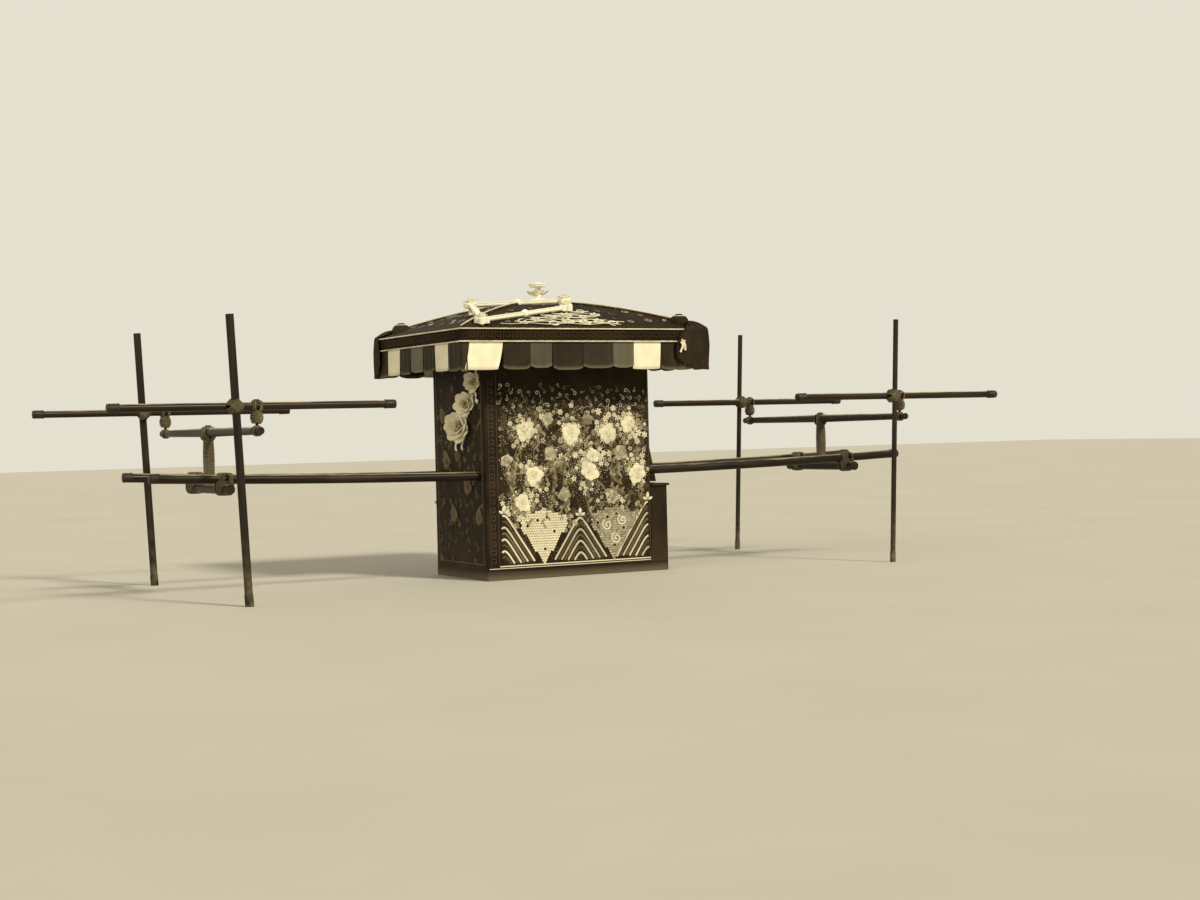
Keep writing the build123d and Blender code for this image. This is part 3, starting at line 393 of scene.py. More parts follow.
# Meshes
def make_mesh(name, points, faces, uv=None, marks=None):
    """A smooth mesh object; uv is one pair a point, and marks are named values, one a point."""
    mesh = bpy.data.meshes.new(name)
    mesh.from_pydata([tuple(p) for p in points], [], [tuple(f) for f in faces])
    if uv is not None:
        corner = np.empty(len(mesh.loops), int)
        mesh.loops.foreach_get("vertex_index", corner)
        mesh.uv_layers.new(name="thread").data.foreach_set("uv", np.asarray(uv, np.float32)[corner].ravel())
    for key, values in (marks or {}).items():
        mesh.attributes.new(key, "FLOAT", "POINT").data.foreach_set("value", np.asarray(values, np.float32))
    mesh.shade_smooth()
    return link(bpy.data.objects.new(name, mesh))


def lattice(rows, columns, closed=False):
    """Faces of a grid of points stored row by row; closed joins each row's two ends."""
    faces = []
    for a in range(0, (rows - 1) * columns, columns):
        for c in range(columns if closed else columns - 1):
            d = (c + 1) % columns
            faces.append((a + c, a + d, a + columns + d, a + columns + c))
    return faces


def settle(obj, paint, slot, body, turned):
    """Give a piece its material and body; turned puts it on the chair's other side. The slot is not used."""
    if turned:
        obj.data.transform(Matrix.Rotation(math.pi, 4, "Z"))
    obj.data.materials.clear()
    obj.data.materials.append(PAINTS[paint])
    slot or paint
    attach(obj, body)
    return obj


# Across a band of satin stitch: side and height
BAND = ((-1.0, 0.0), (-0.55, 0.8), (0.0, 1.0), (0.55, 0.8), (1.0, 0.0))
THREAD_PITCH = 0.012


class Patchwork:
    """Many small patches sewn into one mesh, each with a tone of its own."""

    def __init__(self):
        self.points, self.faces, self.uv, self.tones = [], [], [], []

    def add(self, points, faces, uv, tone):
        offset = len(self.points)
        self.points.extend(np.asarray(points, float))
        self.faces.extend(tuple(offset + i for i in f) for f in faces)
        self.uv.extend(uv)
        self.tones.extend([tone] * len(points))

    def sheet(self, rows, columns, place, tone, closed=False):
        """A sheet of cloth or skin: place(v, u) gives a point and its uv, v down the rows and u across."""
        shares = np.arange(columns) / (columns if closed else columns - 1.0)
        points, uv = zip(*(place(v, u) for v in np.linspace(0.0, 1.0, rows) for u in shares))
        self.add(points, lattice(rows, columns, closed), uv, tone)
        return self

    def ribbon(self, path, width, rise, facing, tone, tapered=False):
        """A band of satin stitch: rounded across, with its threads lying across the path."""
        path, facing = np.asarray(path, float), np.asarray(facing, float)
        along = np.gradient(path, axis=0)
        along /= np.linalg.norm(along, axis=1, keepdims=True)
        side = np.cross(np.broadcast_to(facing, along.shape), along)
        side /= np.linalg.norm(side, axis=1, keepdims=True)
        run = lengths(path)
        taper = np.sin(np.pi * np.clip(run / run[-1], 0.04, 0.96)) ** 0.5 if tapered else np.ones(len(path))
        half = 0.5 * width * taper
        points = [path[i] + side[i] * half[i] * s + facing * rise * up for i in range(len(path)) for s, up in BAND]
        uv = [(10.0 + r / THREAD_PITCH, 0.7 + 0.3 * up) for r in run for _, up in BAND]
        self.add(points, lattice(len(path), len(BAND)), uv, tone)

    def petals(self, place, size, count, turn, facing, across, tone, width=0.62, rise=0.10, cup=0.08, inner=0.0,
               lobes=0.0, grid=(5, 5)):
        """A ring of domed petals about a place, lying on the plane that facing looks out of."""
        upward = np.cross(facing, across)
        points, faces, uv = petal(width, rise, cup, *grid, lobes)
        points[:, 0] = inner + points[:, 0] * (1.0 - inner)
        for k in range(count):
            angle = turn + FULL * k / count
            out = across * math.cos(angle) + upward * math.sin(angle)
            side = np.cross(facing, out)
            self.add(place + size * (points[:, :1] * out + points[:, 1:2] * side + points[:, 2:] * facing), faces,
                     uv, tone)

    def bare(self, name):
        return make_mesh(name, self.points, self.faces, self.uv, {"tone": self.tones})

    def finish(self, name, paint, slot=None, body="chair", turned=False):
        return settle(self.bare(name), paint, slot, body, turned)


def petal(width=0.62, rise=0.10, cup=0.08, rows=5, across=5, lobes=0.0):
    """Points, faces and uv of a petal one unit long, lying along +X with its dome towards +Z."""
    t = np.linspace(0.0, 1.0, rows)[:, None] * np.ones((1, across))
    s = np.ones((rows, 1)) * np.linspace(-1.0, 1.0, across)[None, :]
    half = 0.5 * width * np.sin(np.pi * np.clip(t, 0.07, 0.93) ** 1.35) ** 0.7
    x = t - 0.05 * np.abs(s) ** 2 * t + lobes * t ** 3 * np.cos(3.0 * np.pi * s)
    z = rise * (1.0 - s ** 2) * np.sin(np.pi * np.clip(t, 0.05, 0.9)) + cup * t ** 2
    points = np.stack([x, half * s, z], axis=-1).reshape(-1, 3)
    return points, lattice(rows, across), np.c_[(s.ravel() + 1.0) / 2.0, t.ravel()]


# Lines: each gives an array with one row a point
def straight(start, end, count):
    start, end = np.asarray(start, float), np.asarray(end, float)
    return start + (end - start) * np.linspace(0.0, 1.0, count)[:, None]


def arc(start, end, bulge, count=10):
    """Plane curve from start to end that bows sideways by bulge of its length."""
    chord = np.subtract(end, start)
    t = np.linspace(0.0, 1.0, count)[:, None]
    return start + chord * t + np.array([-chord[1], chord[0]]) * bulge * 4.0 * t * (1.0 - t)


def circle(count):
    """Plane circle one unit in radius, its last point on the first."""
    angle = np.linspace(0.0, FULL, count)
    return np.c_[np.cos(angle), np.sin(angle)]


def spiral(place, radius, turns, start, hand=1.0, count=26):
    """Plane scroll that winds in to its place."""
    t = np.linspace(0.0, 1.0, count)
    angle = start + hand * FULL * turns * t
    reach = radius * (1.0 - 0.88 * t)
    return np.c_[place[0] + reach * np.cos(angle), place[1] + reach * np.sin(angle)]


def set_off(path, axis, value):
    """A plane line put into space, with the value, or one a point, for the axis it lacks."""
    return np.insert(np.asarray(path, float), axis, value, axis=1)


def lengths(path):
    """How far along the line each of its points is."""
    return np.concatenate([[0.0], np.cumsum(np.linalg.norm(np.diff(path, axis=0), axis=1))])


# Geometry Nodes trees
POINTS_CAP = 200000.0          # a square metre; the spacing holds them to fewer
MOTIF_DRAWS = 40.0             # more than any group has, and taken round and round
LIFT = 0.0009                  # the most that a small motif stands over the next
GOLDEN_ANGLE = 2.39996


class Grower(Nodes):
    """A Geometry Nodes tree being built, with named inputs."""

    def __init__(self, name):
        self.tree = bpy.data.node_groups.new(name, "GeometryNodeTree")
        for way in ("INPUT", "OUTPUT"):
            self.tree.interface.new_socket("Geometry", in_out=way, socket_type="NodeSocketGeometry")
        self.start = self.tree.nodes.new("NodeGroupInput")
        self.end = self.tree.nodes.new("NodeGroupOutput")
        self.base = self.start.outputs["Geometry"]
        self.keys = {}
        self.inputs("Material", "Material")

    def inputs(self, kind, names):
        """Sockets for several inputs of one kind."""
        for name in names.split():
            socket = self.tree.interface.new_socket(name, in_out="INPUT", socket_type="NodeSocket" + kind)
            self.keys[name] = socket.identifier
        return [self.start.outputs[name] for name in names.split()]

    def vector(self, x, y, z):
        return self.add("ShaderNodeCombineXYZ", {0: x, 1: y, 2: z})

    def scaled(self, vector, by):
        return self.add("ShaderNodeVectorMath", {0: vector, "Scale": by}, operation="SCALE")

    def spun(self, rotation, x, y, z):
        return self.add("FunctionNodeRotateRotation", {0: rotation, 1: self.vector(x, y, z)}, rotation_space="LOCAL")

    def read(self, name):
        return self.add("GeometryNodeInputNamedAttribute", {"Name": name}, data_type="FLOAT")

    def chance(self, low, high, offset):
        """A number by chance for each point; offset keeps one draw apart from the next."""
        seed = self.math("ADD", self.start.outputs["Seed"], float(offset))
        return self.add("FunctionNodeRandomValue", {2: low, 3: high, "Seed": seed}, out=1, data_type="FLOAT")

    def copies(self, points, motif, rotation, scale, mood, **choice):
        """A motif on every point, with a tone of its own, made real."""
        placed = self.add("GeometryNodeInstanceOnPoints", {"Points": points, "Instance": motif, "Rotation": rotation,
                                                           "Scale": scale, **choice})
        return self.close(self.add("GeometryNodeStoreNamedAttribute",
                                   {"Geometry": placed, "Name": "mood", "Value": mood},
                                   data_type="FLOAT", domain="INSTANCE"))

    def close(self, geometry):
        """Make the instances real and set the material, which every tree ends with."""
        solid = self.add("GeometryNodeRealizeInstances", {"Geometry": geometry})
        done = self.add("GeometryNodeSetMaterial", {"Geometry": solid, "Material": self.start.outputs["Material"]})
        self.plug(self.end.inputs[0], done)
        return self

    def grow(self, base, name, paint, slot=None, body="chair", turned=False, **values):
        """Run the tree on a base object, and keep what it makes as a plain mesh on a body."""
        modifier = base.modifiers.new("grow", "NODES")
        modifier.node_group = self.tree
        for key, value in {"Material": PAINTS[paint], **values}.items():
            modifier[self.keys[key]] = value
        bpy.context.view_layer.update()
        graph = bpy.context.evaluated_depsgraph_get()
        mesh = bpy.data.meshes.new_from_object(base.evaluated_get(graph), preserve_all_data_layers=True,
                                               depsgraph=graph)
        base.modifiers.remove(modifier)
        mesh.name = name
        mesh.shade_smooth()
        return settle(link(bpy.data.objects.new(name, mesh)), paint, slot, body, turned)


def scatter_tree():
    """Motifs sown over a face: as thick as its sow attribute says, each turned and sized by chance."""
    g = Grower("scatter_motifs")
    motifs, = g.inputs("Collection", "Motifs")
    spacing, smallest, largest, dull, bright = g.inputs("Float", "Spacing Smallest Largest Dull Bright")
    seed, = g.inputs("Int", "Seed")
    points = g.add("GeometryNodeDistributePointsOnFaces", {
        "Mesh": g.base, "Distance Min": spacing, "Density Factor": g.read("sow"), "Seed": seed,
        "Density Max": POINTS_CAP}, distribute_method="POISSON").node.outputs
    lifted = g.add("GeometryNodeSetPosition", {"Geometry": points["Points"],
                                               "Offset": g.scaled(points["Normal"], g.chance(0.0, LIFT, 2))})
    choices = g.add("GeometryNodeCollectionInfo", {"Collection": motifs, "Separate Children": True,
                                                   "Reset Children": True})
    return g.copies(lifted, choices, g.spun(points["Rotation"], 0.0, 0.0, g.chance(0.0, 6.28, 1)),
                    g.chance(smallest, largest, 4), g.math("ADD", g.chance(dull, bright, 5), g.read("glow")),
                    **{"Pick Instance": True,
                       "Instance Index": g.add("FunctionNodeFloatToInt", {0: g.chance(0.0, MOTIF_DRAWS, 3)})})


def along_tree():
    """Copies of one motif strung along a curve: beads in line, or leaves to one side and the other."""
    g = Grower("string_along")
    motif, = g.inputs("Object", "Motif")
    spacing, size, spread = g.inputs("Float", "Spacing Size Spread")
    facing, = g.inputs("Vector", "Facing")
    g.inputs("Int", "Seed")
    line = g.add("GeometryNodeResampleCurve", {"Curve": g.base, "Length": spacing}, mode="LENGTH")
    heading = g.add("FunctionNodeAxesToRotation", {"Primary Axis": facing,
                                                   "Secondary Axis": g.add("GeometryNodeInputTangent")},
                    primary_axis="Z", secondary_axis="X")
    hand = g.math("MODULO", g.add("GeometryNodeInputIndex"), 2.0)
    hand = g.math("SUBTRACT", g.times(hand, 2.0), 1.0)
    return g.copies(g.add("GeometryNodeCurveToPoints", {"Curve": line}, mode="EVALUATED"),
                    g.add("GeometryNodeObjectInfo", {"Object": motif}, out="Geometry"),
                    g.spun(heading, 0.0, 0.0, g.times(hand, spread, g.chance(0.75, 1.25, 1))),
                    g.times(size, g.chance(0.85, 1.15, 2)), g.chance(0.0, 0.5, 3))


def whorl_tree():
    """A full flower: petals by the golden angle, smaller and more upright towards the heart."""
    g = Grower("petal_whorl")
    motif, = g.inputs("Object", "Petal")
    count, _ = g.inputs("Int", "Count Seed")
    radius, height, open_tilt, shut_tilt = g.inputs("Float", "Radius Height Open Shut")
    index = g.add("GeometryNodeInputIndex")
    share = g.math("DIVIDE", index, count)
    turn = g.math("ADD", g.times(index, GOLDEN_ANGLE), g.chance(-0.15, 0.15, 1))
    inset = g.times(radius, 0.22, g.math("SUBTRACT", 1.0, share))
    place = g.vector(g.times(inset, g.math("COSINE", turn)), g.times(inset, g.math("SINE", turn)),
                     g.times(height, 0.35, share))
    tilt = g.add("ShaderNodeMapRange", {0: share, 3: open_tilt, 4: shut_tilt})
    level = g.add("FunctionNodeEulerToRotation", {0: g.vector(0.0, 0.0, turn)})
    reach = g.times(radius, 0.80, g.math("SUBTRACT", 1.0, g.times(share, 0.55)))
    return g.copies(g.add("GeometryNodePoints", {"Count": count, "Position": place}),
                    g.add("GeometryNodeObjectInfo", {"Object": motif}, out="Geometry"),
                    g.spun(level, 0.0, g.times(tilt, g.chance(-1.2, -0.8, 2)), 0.0),
                    g.times(reach, g.chance(0.9, 1.1, 3)), g.chance(0.0, 0.3, 4))


def rope_tree():
    """Laid rope along a curve: a three-lobed section that twists as it goes."""
    g = Grower("laid_rope")
    radius, lay = g.inputs("Float", "Radius Lay")
    run = g.add("GeometryNodeSplineParameter", out="Length")
    line = g.add("GeometryNodeSetCurveTilt", {"Curve": g.base, "Tilt": g.times(g.math("DIVIDE", run, lay), FULL)})
    around = g.times(g.add("GeometryNodeInputIndex"), FULL / 3.0)
    lobe = g.math("ADD", 0.83, g.times(g.math("COSINE", around), 0.17))
    lobed = g.add("GeometryNodeSetPosition", {
        "Geometry": g.add("GeometryNodeCurvePrimitiveCircle", {"Resolution": 9, "Radius": radius}),
        "Position": g.scaled(g.add("GeometryNodeInputPosition"), lobe)})
    return g.close(g.add("GeometryNodeCurveToMesh", {"Curve": line, "Profile Curve": lobed, "Fill Caps": True}))


TREES = {"scatter": scatter_tree(), "along": along_tree(), "whorl": whorl_tree(), "rope": rope_tree()}
HELPERS = []                   # curves, fields and motifs that the trees read, taken away at the end
GROUPS = {}                    # collections of motifs
MOTIFS = {}                    # motifs that are copied one by one


def hide(obj):
    HELPERS.append(obj)
    return obj


def make_curves(runs):
    """One hidden curve object with a poly spline through each list of points."""
    data = bpy.data.curves.new("line", "CURVE")
    data.dimensions = "3D"
    for run in runs:
        spline = data.splines.new("POLY")
        spline.points.add(len(run) - 1)
        spline.points.foreach_set("co", set_off(run, 3, 1.0).ravel())
    return hide(link(bpy.data.objects.new("line", data)))


def keep_motif(obj, group):
    """Put a motif in a collection, out of sight, for the trees to copy."""
    if group not in GROUPS:
        GROUPS[group] = bpy.data.collections.new(group)
        bpy.context.scene.collection.children.link(GROUPS[group])
    bpy.context.scene.collection.objects.unlink(obj)
    GROUPS[group].objects.link(obj)
    return hide(obj)


def make_motifs():
    """Flowers, leaves and scrolls, one unit across, that the embroidery repeats."""
    centre, plane = np.zeros(3), (UP, AHEAD)
    for count, width in ((5, 0.72), (6, 0.60), (8, 0.46)):
        work = Patchwork()
        work.petals(centre, 0.5, count, 0.3, *plane, 0.55, width=width, cup=0.02, inner=0.12, grid=(4, 3))
        work.petals(0.03 * UP, 0.20, 5, 0.0, *plane, 0.40, width=0.9, rise=0.14, cup=0.03, grid=(3, 3))
        keep_motif(work.bare(f"flower_{count}"), "flowers")
    for index, (lean, spread) in enumerate(((0.0, 0.7), (0.3, 0.95))):
        work = Patchwork()
        for turn, size in ((lean, 0.62), (lean + spread, 0.48), (lean - spread, 0.48)):
            work.petals(centre, size, 1, turn, *plane, 0.3, width=0.42, rise=0.06, cup=0.02, grid=(4, 3))
        work.petals(-0.25 * AHEAD, 0.30, 3, 0.4, *plane, 0.6, width=0.7, rise=0.08, cup=0.03, grid=(4, 3))
        keep_motif(work.bare(f"spray_{index}"), "sprays")
    for index, hand in enumerate((1.0, -1.0)):
        work = Patchwork()
        tail = arc((0.39, 0.17 * hand), (0.95, -0.15 * hand), 0.18 * hand, 7)
        for path, width, tone in ((spiral((0.0, 0.0), 0.42, 1.35, 0.4, hand, 20), 0.13, 0.5), (tail, 0.12, 0.4)):
            work.ribbon(set_off(path, 2, 0.0), width, 0.05, UP, tone, tapered=True)
        keep_motif(work.bare(f"curl_{index}"), "curls")
    work = Patchwork()
    points, faces, uv = petal(width=0.36, rise=0.12, cup=0.0, rows=3, across=3)
    work.add(points - 0.5 * AHEAD, faces, uv, 0.4)
    keep_motif(work.bare("stitch"), "stitches")
    for name, width, rise, cup in (("petal_broad", 0.95, 0.10, 0.16), ("leaf", 0.40, 0.10, 0.04),
                                   ("petal_narrow", 0.45, 0.12, 0.10)):
        work = Patchwork()
        work.add(*petal(width, rise, cup, rows=6, across=5), 0.45)
        MOTIFS[name] = keep_motif(work.bare(name), "single")
    ball = bmesh.new()
    bmesh.ops.create_uvsphere(ball, u_segments=8, v_segments=5, radius=0.5)
    ball.verts.index_update()
    faces = sorted([v.index for v in face.verts] for face in ball.faces)      # their own order changes from run to run
    MOTIFS["bead"] = keep_motif(make_mesh("bead", [v.co for v in ball.verts], faces), "single")
    ball.free()


FIELD_STEP = 0.02


def field(name, corner, across, size, thickness, brightness=lambda u, v: 0.0):
    """A hidden upright face for the scatter: thickness(u, v) in metres from the corner gives its sow attribute, and
    brightness(u, v) its glow."""
    columns, rows = (max(2, int(round(s / FIELD_STEP)) + 1) for s in size)
    spots = [(u, v) for v in np.linspace(0.0, size[1], rows) for u in np.linspace(0.0, size[0], columns)]
    points = [corner + across * u + UP * v for u, v in spots]
    marks = {"sow": [thickness(*s) for s in spots], "glow": [brightness(*s) for s in spots]}
    return hide(make_mesh(name, points, lattice(rows, columns), None, marks))


def sow(ground, name, group, paint, slot, spacing, sizes, tones, seed, turned=False):
    """Small motifs over a field, between two sizes and two tones."""
    TREES["scatter"].grow(ground, name, paint, slot, turned=turned, Motifs=GROUPS[group], Spacing=spacing,
                          Smallest=sizes[0], Largest=sizes[1], Dull=tones[0], Bright=tones[1], Seed=seed)


# The cabin's embroidered sides
SATIN = "embroidered_satin"
FIELD_LOW, FIELD_HIGH = (-0.452, 0.088), (0.522, 1.125)      # corners of the picture, X and height
FIELD_SIZE = tuple(np.subtract(FIELD_HIGH, FIELD_LOW))
# Striped water: each peak's place along X and its height, its stripes' tone, and one slope for all of them
WAVES = ((-0.430, 0.365, 0.74), (0.058, 0.333, 0.58), (0.512, 0.408, 0.62))
WAVE_SLOPE, STRIPE_PITCH, PEAK_ROUND = 1.58, 0.0335, 0.022
STRIPE_TONES = (1.0, 0.25, 0.82, 0.38, 0.94, 0.20)
# The scale-covered shields in the hollows: middle along X, and brightness, with the dark eyes in each
SHIELDS = ((-0.178, 0.80), (0.278, 0.44))
SHIELD_LOW, SHIELD_WIDE, SHIELD_HIGH, SHIELD_HALF = 0.092, 0.325, 0.392, 0.163
SCALE_PITCH, SCALE_ROW, SCALE_SIZE = 0.0155, 0.0145, 0.0190
SCALE_ROWS, SCALE_REACH = 22, 9                              # rows, and scales to each side of the middle
EYES = ((0.066, 0.263), (0.004, 0.165), (-0.040, 0.330), (-0.105, 0.300), (0.020, 0.345))
SCROLLS = ((-0.042, 0.285), (0.018, 0.205), (0.060, 0.310))  # on the dim shield alone
# Bright blossoms where the photograph shows them: place along X, height, radius
BRIGHT_BLOSSOMS = ((-0.289, 0.841, 0.058), (0.013, 0.823, 0.060), (0.244, 0.818, 0.056), (0.399, 0.867, 0.050),
                   (-0.239, 0.589, 0.060), (0.125, 0.601, 0.062), (0.439, 0.579, 0.056), (-0.313, 0.433, 0.054),
                   (0.146, 0.690, 0.045))
BLOSSOMS = BRIGHT_BLOSSOMS + ((-0.130, 0.705, 0.042), (0.340, 0.700, 0.044), (-0.045, 0.470, 0.042),
                              (0.270, 0.450, 0.046), (-0.405, 0.680, 0.038), (0.120, 0.900, 0.038),
                              (-0.140, 0.905, 0.036))
STEMS = (((-0.36, 0.33), (-0.289, 0.841), 0.10), ((-0.20, 0.30), (-0.130, 0.715), -0.12),
         ((-0.02, 0.31), (0.013, 0.823), 0.08), ((0.16, 0.30), (0.125, 0.601), 0.14),
         ((0.21, 0.33), (0.244, 0.818), -0.10), ((0.42, 0.33), (0.439, 0.579), -0.10),
         ((0.38, 0.36), (0.399, 0.867), 0.16), ((-0.28, 0.31), (-0.313, 0.433), 0.15),
         ((-0.09, 0.35), (-0.045, 0.500), -0.20), ((0.30, 0.33), (0.290, 0.470), 0.10),
         ((-0.23, 0.60), (-0.140, 0.905), 0.12), ((0.14, 0.70), (0.120, 0.900), 0.15),
         ((-0.31, 0.45), (-0.400, 0.690), 0.18), ((-0.06, 0.66), (-0.239, 0.589), 0.2),
         ((0.40, 0.60), (0.340, 0.700), 0.2))
# Dark gaps that run across the picture between its clusters: middle and half size
GAPS = ((-0.38, 0.520, 0.11, 0.045), (0.34, 0.540, 0.15, 0.045), (-0.09, 0.84, 0.030, 0.07),
        (0.13, 0.84, 0.028, 0.06), (-0.11, 0.56, 0.07, 0.035), (0.05, 0.43, 0.05, 0.05),
        (-0.36, 0.73, 0.07, 0.035), (0.30, 0.72, 0.05, 0.03), (-0.20, 0.70, 0.03, 0.05))


def on_side(points, proud=0.0):
    """Plane points (x, z) laid on the right-hand panel."""
    return set_off(points, 1, -PANEL_FACE - CLOTH_PROUD - proud)


def spot(x, z, proud=0.0):
    return on_side([(x, z)], proud)[0]


def in_shield(x, z, middle, margin=0.0):
    """Whether a place on the panel lies in a shield: straight sides below its widest line, a dome above it."""
    if z < SHIELD_WIDE:
        half = SHIELD_HALF * (z - SHIELD_LOW) / (SHIELD_WIDE - SHIELD_LOW)
    else:
        rise = min(1.0, (z - SHIELD_WIDE) / (SHIELD_HIGH - SHIELD_WIDE + margin))
        half = SHIELD_HALF * math.sqrt(1.0 - rise ** 2) - (0.2 if rise == 1.0 else 0.0)
    return abs(x - middle) < half + margin


def waves_and_scales(hand, turned):
    """Parallel stripes rising to three peaks, with a shield of fish scales in each hollow between them."""
    work = Patchwork()
    chance = random.Random(8)
    for peak, height, shine in WAVES:
        for k in range(int((height - FIELD_LOW[1]) / STRIPE_PITCH)):
            top = height - k * STRIPE_PITCH
            run = (top - FIELD_LOW[1]) / WAVE_SLOPE + 0.6 * PEAK_ROUND
            x = peak + np.linspace(-run, run, 41)
            z = top - WAVE_SLOPE * (np.hypot(x - peak, PEAK_ROUND) - PEAK_ROUND)
            z -= 0.004 * np.sin(19.0 * (x - peak)) ** 2
            inside = (x > FIELD_LOW[0] + 0.006) & (x < FIELD_HIGH[0] - 0.006) & (z > FIELD_LOW[1])
            work.ribbon(on_side(np.c_[x, z][inside]), width=0.0115, rise=0.0022, facing=RIGHT,
                        tone=shine * STRIPE_TONES[k % len(STRIPE_TONES)])
    for middle, brightness in SHIELDS:
        for row in range(SCALE_ROWS):
            for column in range(-SCALE_REACH, SCALE_REACH + 1):
                x = middle + (column + 0.5 * (row % 2)) * SCALE_PITCH
                z = SHIELD_HIGH - 0.004 - row * SCALE_ROW
                if in_shield(x, z, middle):
                    work.petals(spot(x, z, 0.0004 * (row % 3)), SCALE_SIZE, 1, -math.pi / 2, RIGHT, AHEAD,
                                brightness * chance.uniform(0.80, 1.15), width=0.98, rise=0.14, grid=(4, 5))
        for x, z in EYES:
            x += middle
            work.petals(spot(x, z, 0.0034), 0.0095, 6, 0.2, RIGHT, AHEAD, -0.5, width=1.0, cup=0.0, grid=(3, 3))
            work.ribbon(on_side(circle(19) * 0.0125 + (x, z), 0.0026), width=0.0045, rise=0.0016, facing=RIGHT,
                        tone=0.9 * brightness + 0.1)
        if brightness < 0.6:
            for x, z in SCROLLS:
                scroll = spiral((middle + x, z), radius=0.034, turns=1.5, start=2.0, count=24)
                work.ribbon(on_side(scroll, 0.0024), width=0.0085, rise=0.0020, facing=RIGHT, tone=0.75)
    for peak, height, _ in WAVES:
        for turn, size in ((0.5, 0.036), (1.57, 0.048), (2.64, 0.036)):
            work.petals(spot(peak, height + 0.010), size, 1, turn, RIGHT, AHEAD, 0.9, width=0.5)
    work.finish(f"wave_embroidery_{hand}", "ivory_thread", SATIN, turned=turned)


# Rings of a peony from the rim to the heart: share of its radius, petals, tone, lift, width
PEONY = ((1.00, 7, 0.90, 0.0000, 0.96), (0.80, 6, 1.00, 0.0016, 1.00), (0.58, 5, 0.80, 0.0032, 1.05),
         (0.36, 4, 0.95, 0.0048, 1.10))


def blossom(work, place, radius, facing, across, turn, chance, glow=1.0):
    """An opened peony: rings of broad, uneven petals with lobed rims round a stamen boss."""
    for share, count, tone, lift, width in PEONY:
        for k in range(count):
            angle = turn + 2.6 * share + FULL * (k + chance.uniform(-0.14, 0.14)) / count
            size = radius * share * chance.uniform(0.74, 1.20)
            work.petals(place + facing * (lift + 0.0004 * (k % 2)), size, 1, angle, facing, across,
                        glow * tone * chance.uniform(0.70, 1.0), width=width, rise=0.08, cup=0.04, inner=0.12,
                        lobes=0.045, grid=(5, 7))
    work.petals(place + facing * 0.0064, radius * 0.17, 6, turn, facing, across, glow * 0.8, width=0.8, rise=0.3,
                cup=0.0)


def cluster(x, z):
    """How near a place on the panel is to a bright blossom."""
    return max(math.exp(-((x - a) ** 2 + (z - b) ** 2) / 0.0062) for a, b, _ in BRIGHT_BLOSSOMS)


def gap(x, z):
    return max(math.exp(-((x - a) / w) ** 2 - ((z - b) / h) ** 2) for a, b, w, h in GAPS)


def ramp(value, low, high):
    """0 up to low, 1 from high on."""
    return min(1.0, max(0.0, (value - low) / (high - low)))


def dense(u, v):
    """How thickly the picture is sown: over the waves, thinning out below the dark top."""
    x, z = FIELD_LOW[0] + u, FIELD_LOW[1] + v
    if not 0.015 < u < FIELD_SIZE[0] - 0.015:
        return 0.0
    if z < SHIELD_WIDE and any(in_shield(x, z, middle, 0.020) for middle, _ in SHIELDS):
        return 0.0
    in_dome = z < SHIELD_HIGH and any(in_shield(x, z, middle) for middle, _ in SHIELDS)
    floor = max(0.24, *(top - WAVE_SLOPE * abs(x - peak) for peak, top, _ in WAVES)) + 0.02
    grown = ramp(z, floor, floor + 0.03) * (0.35 if in_dome else 1.0)
    patch = 0.66 + 0.34 * math.sin(13.0 * x + 2.0) * math.sin(11.0 * z)
    return grown * (1.0 - ramp(z, 0.94, 1.01)) * min(1.0, patch + 0.5 * cluster(x, z)) * (1.0 - 0.9 * gap(x, z))


def glowing(u, v):
    x, z = FIELD_LOW[0] + u, FIELD_LOW[1] + v
    return 1.08 * cluster(x, z) - 0.66 * gap(x, z) - (0.40 if z < 0.90 else 0.46)


def sky(_, v):
    """How thickly the dark top is sown with curls."""
    z = FIELD_LOW[1] + v
    return ramp(z, 0.93, 0.98) * (0.25 if z > 1.10 else 1.0)


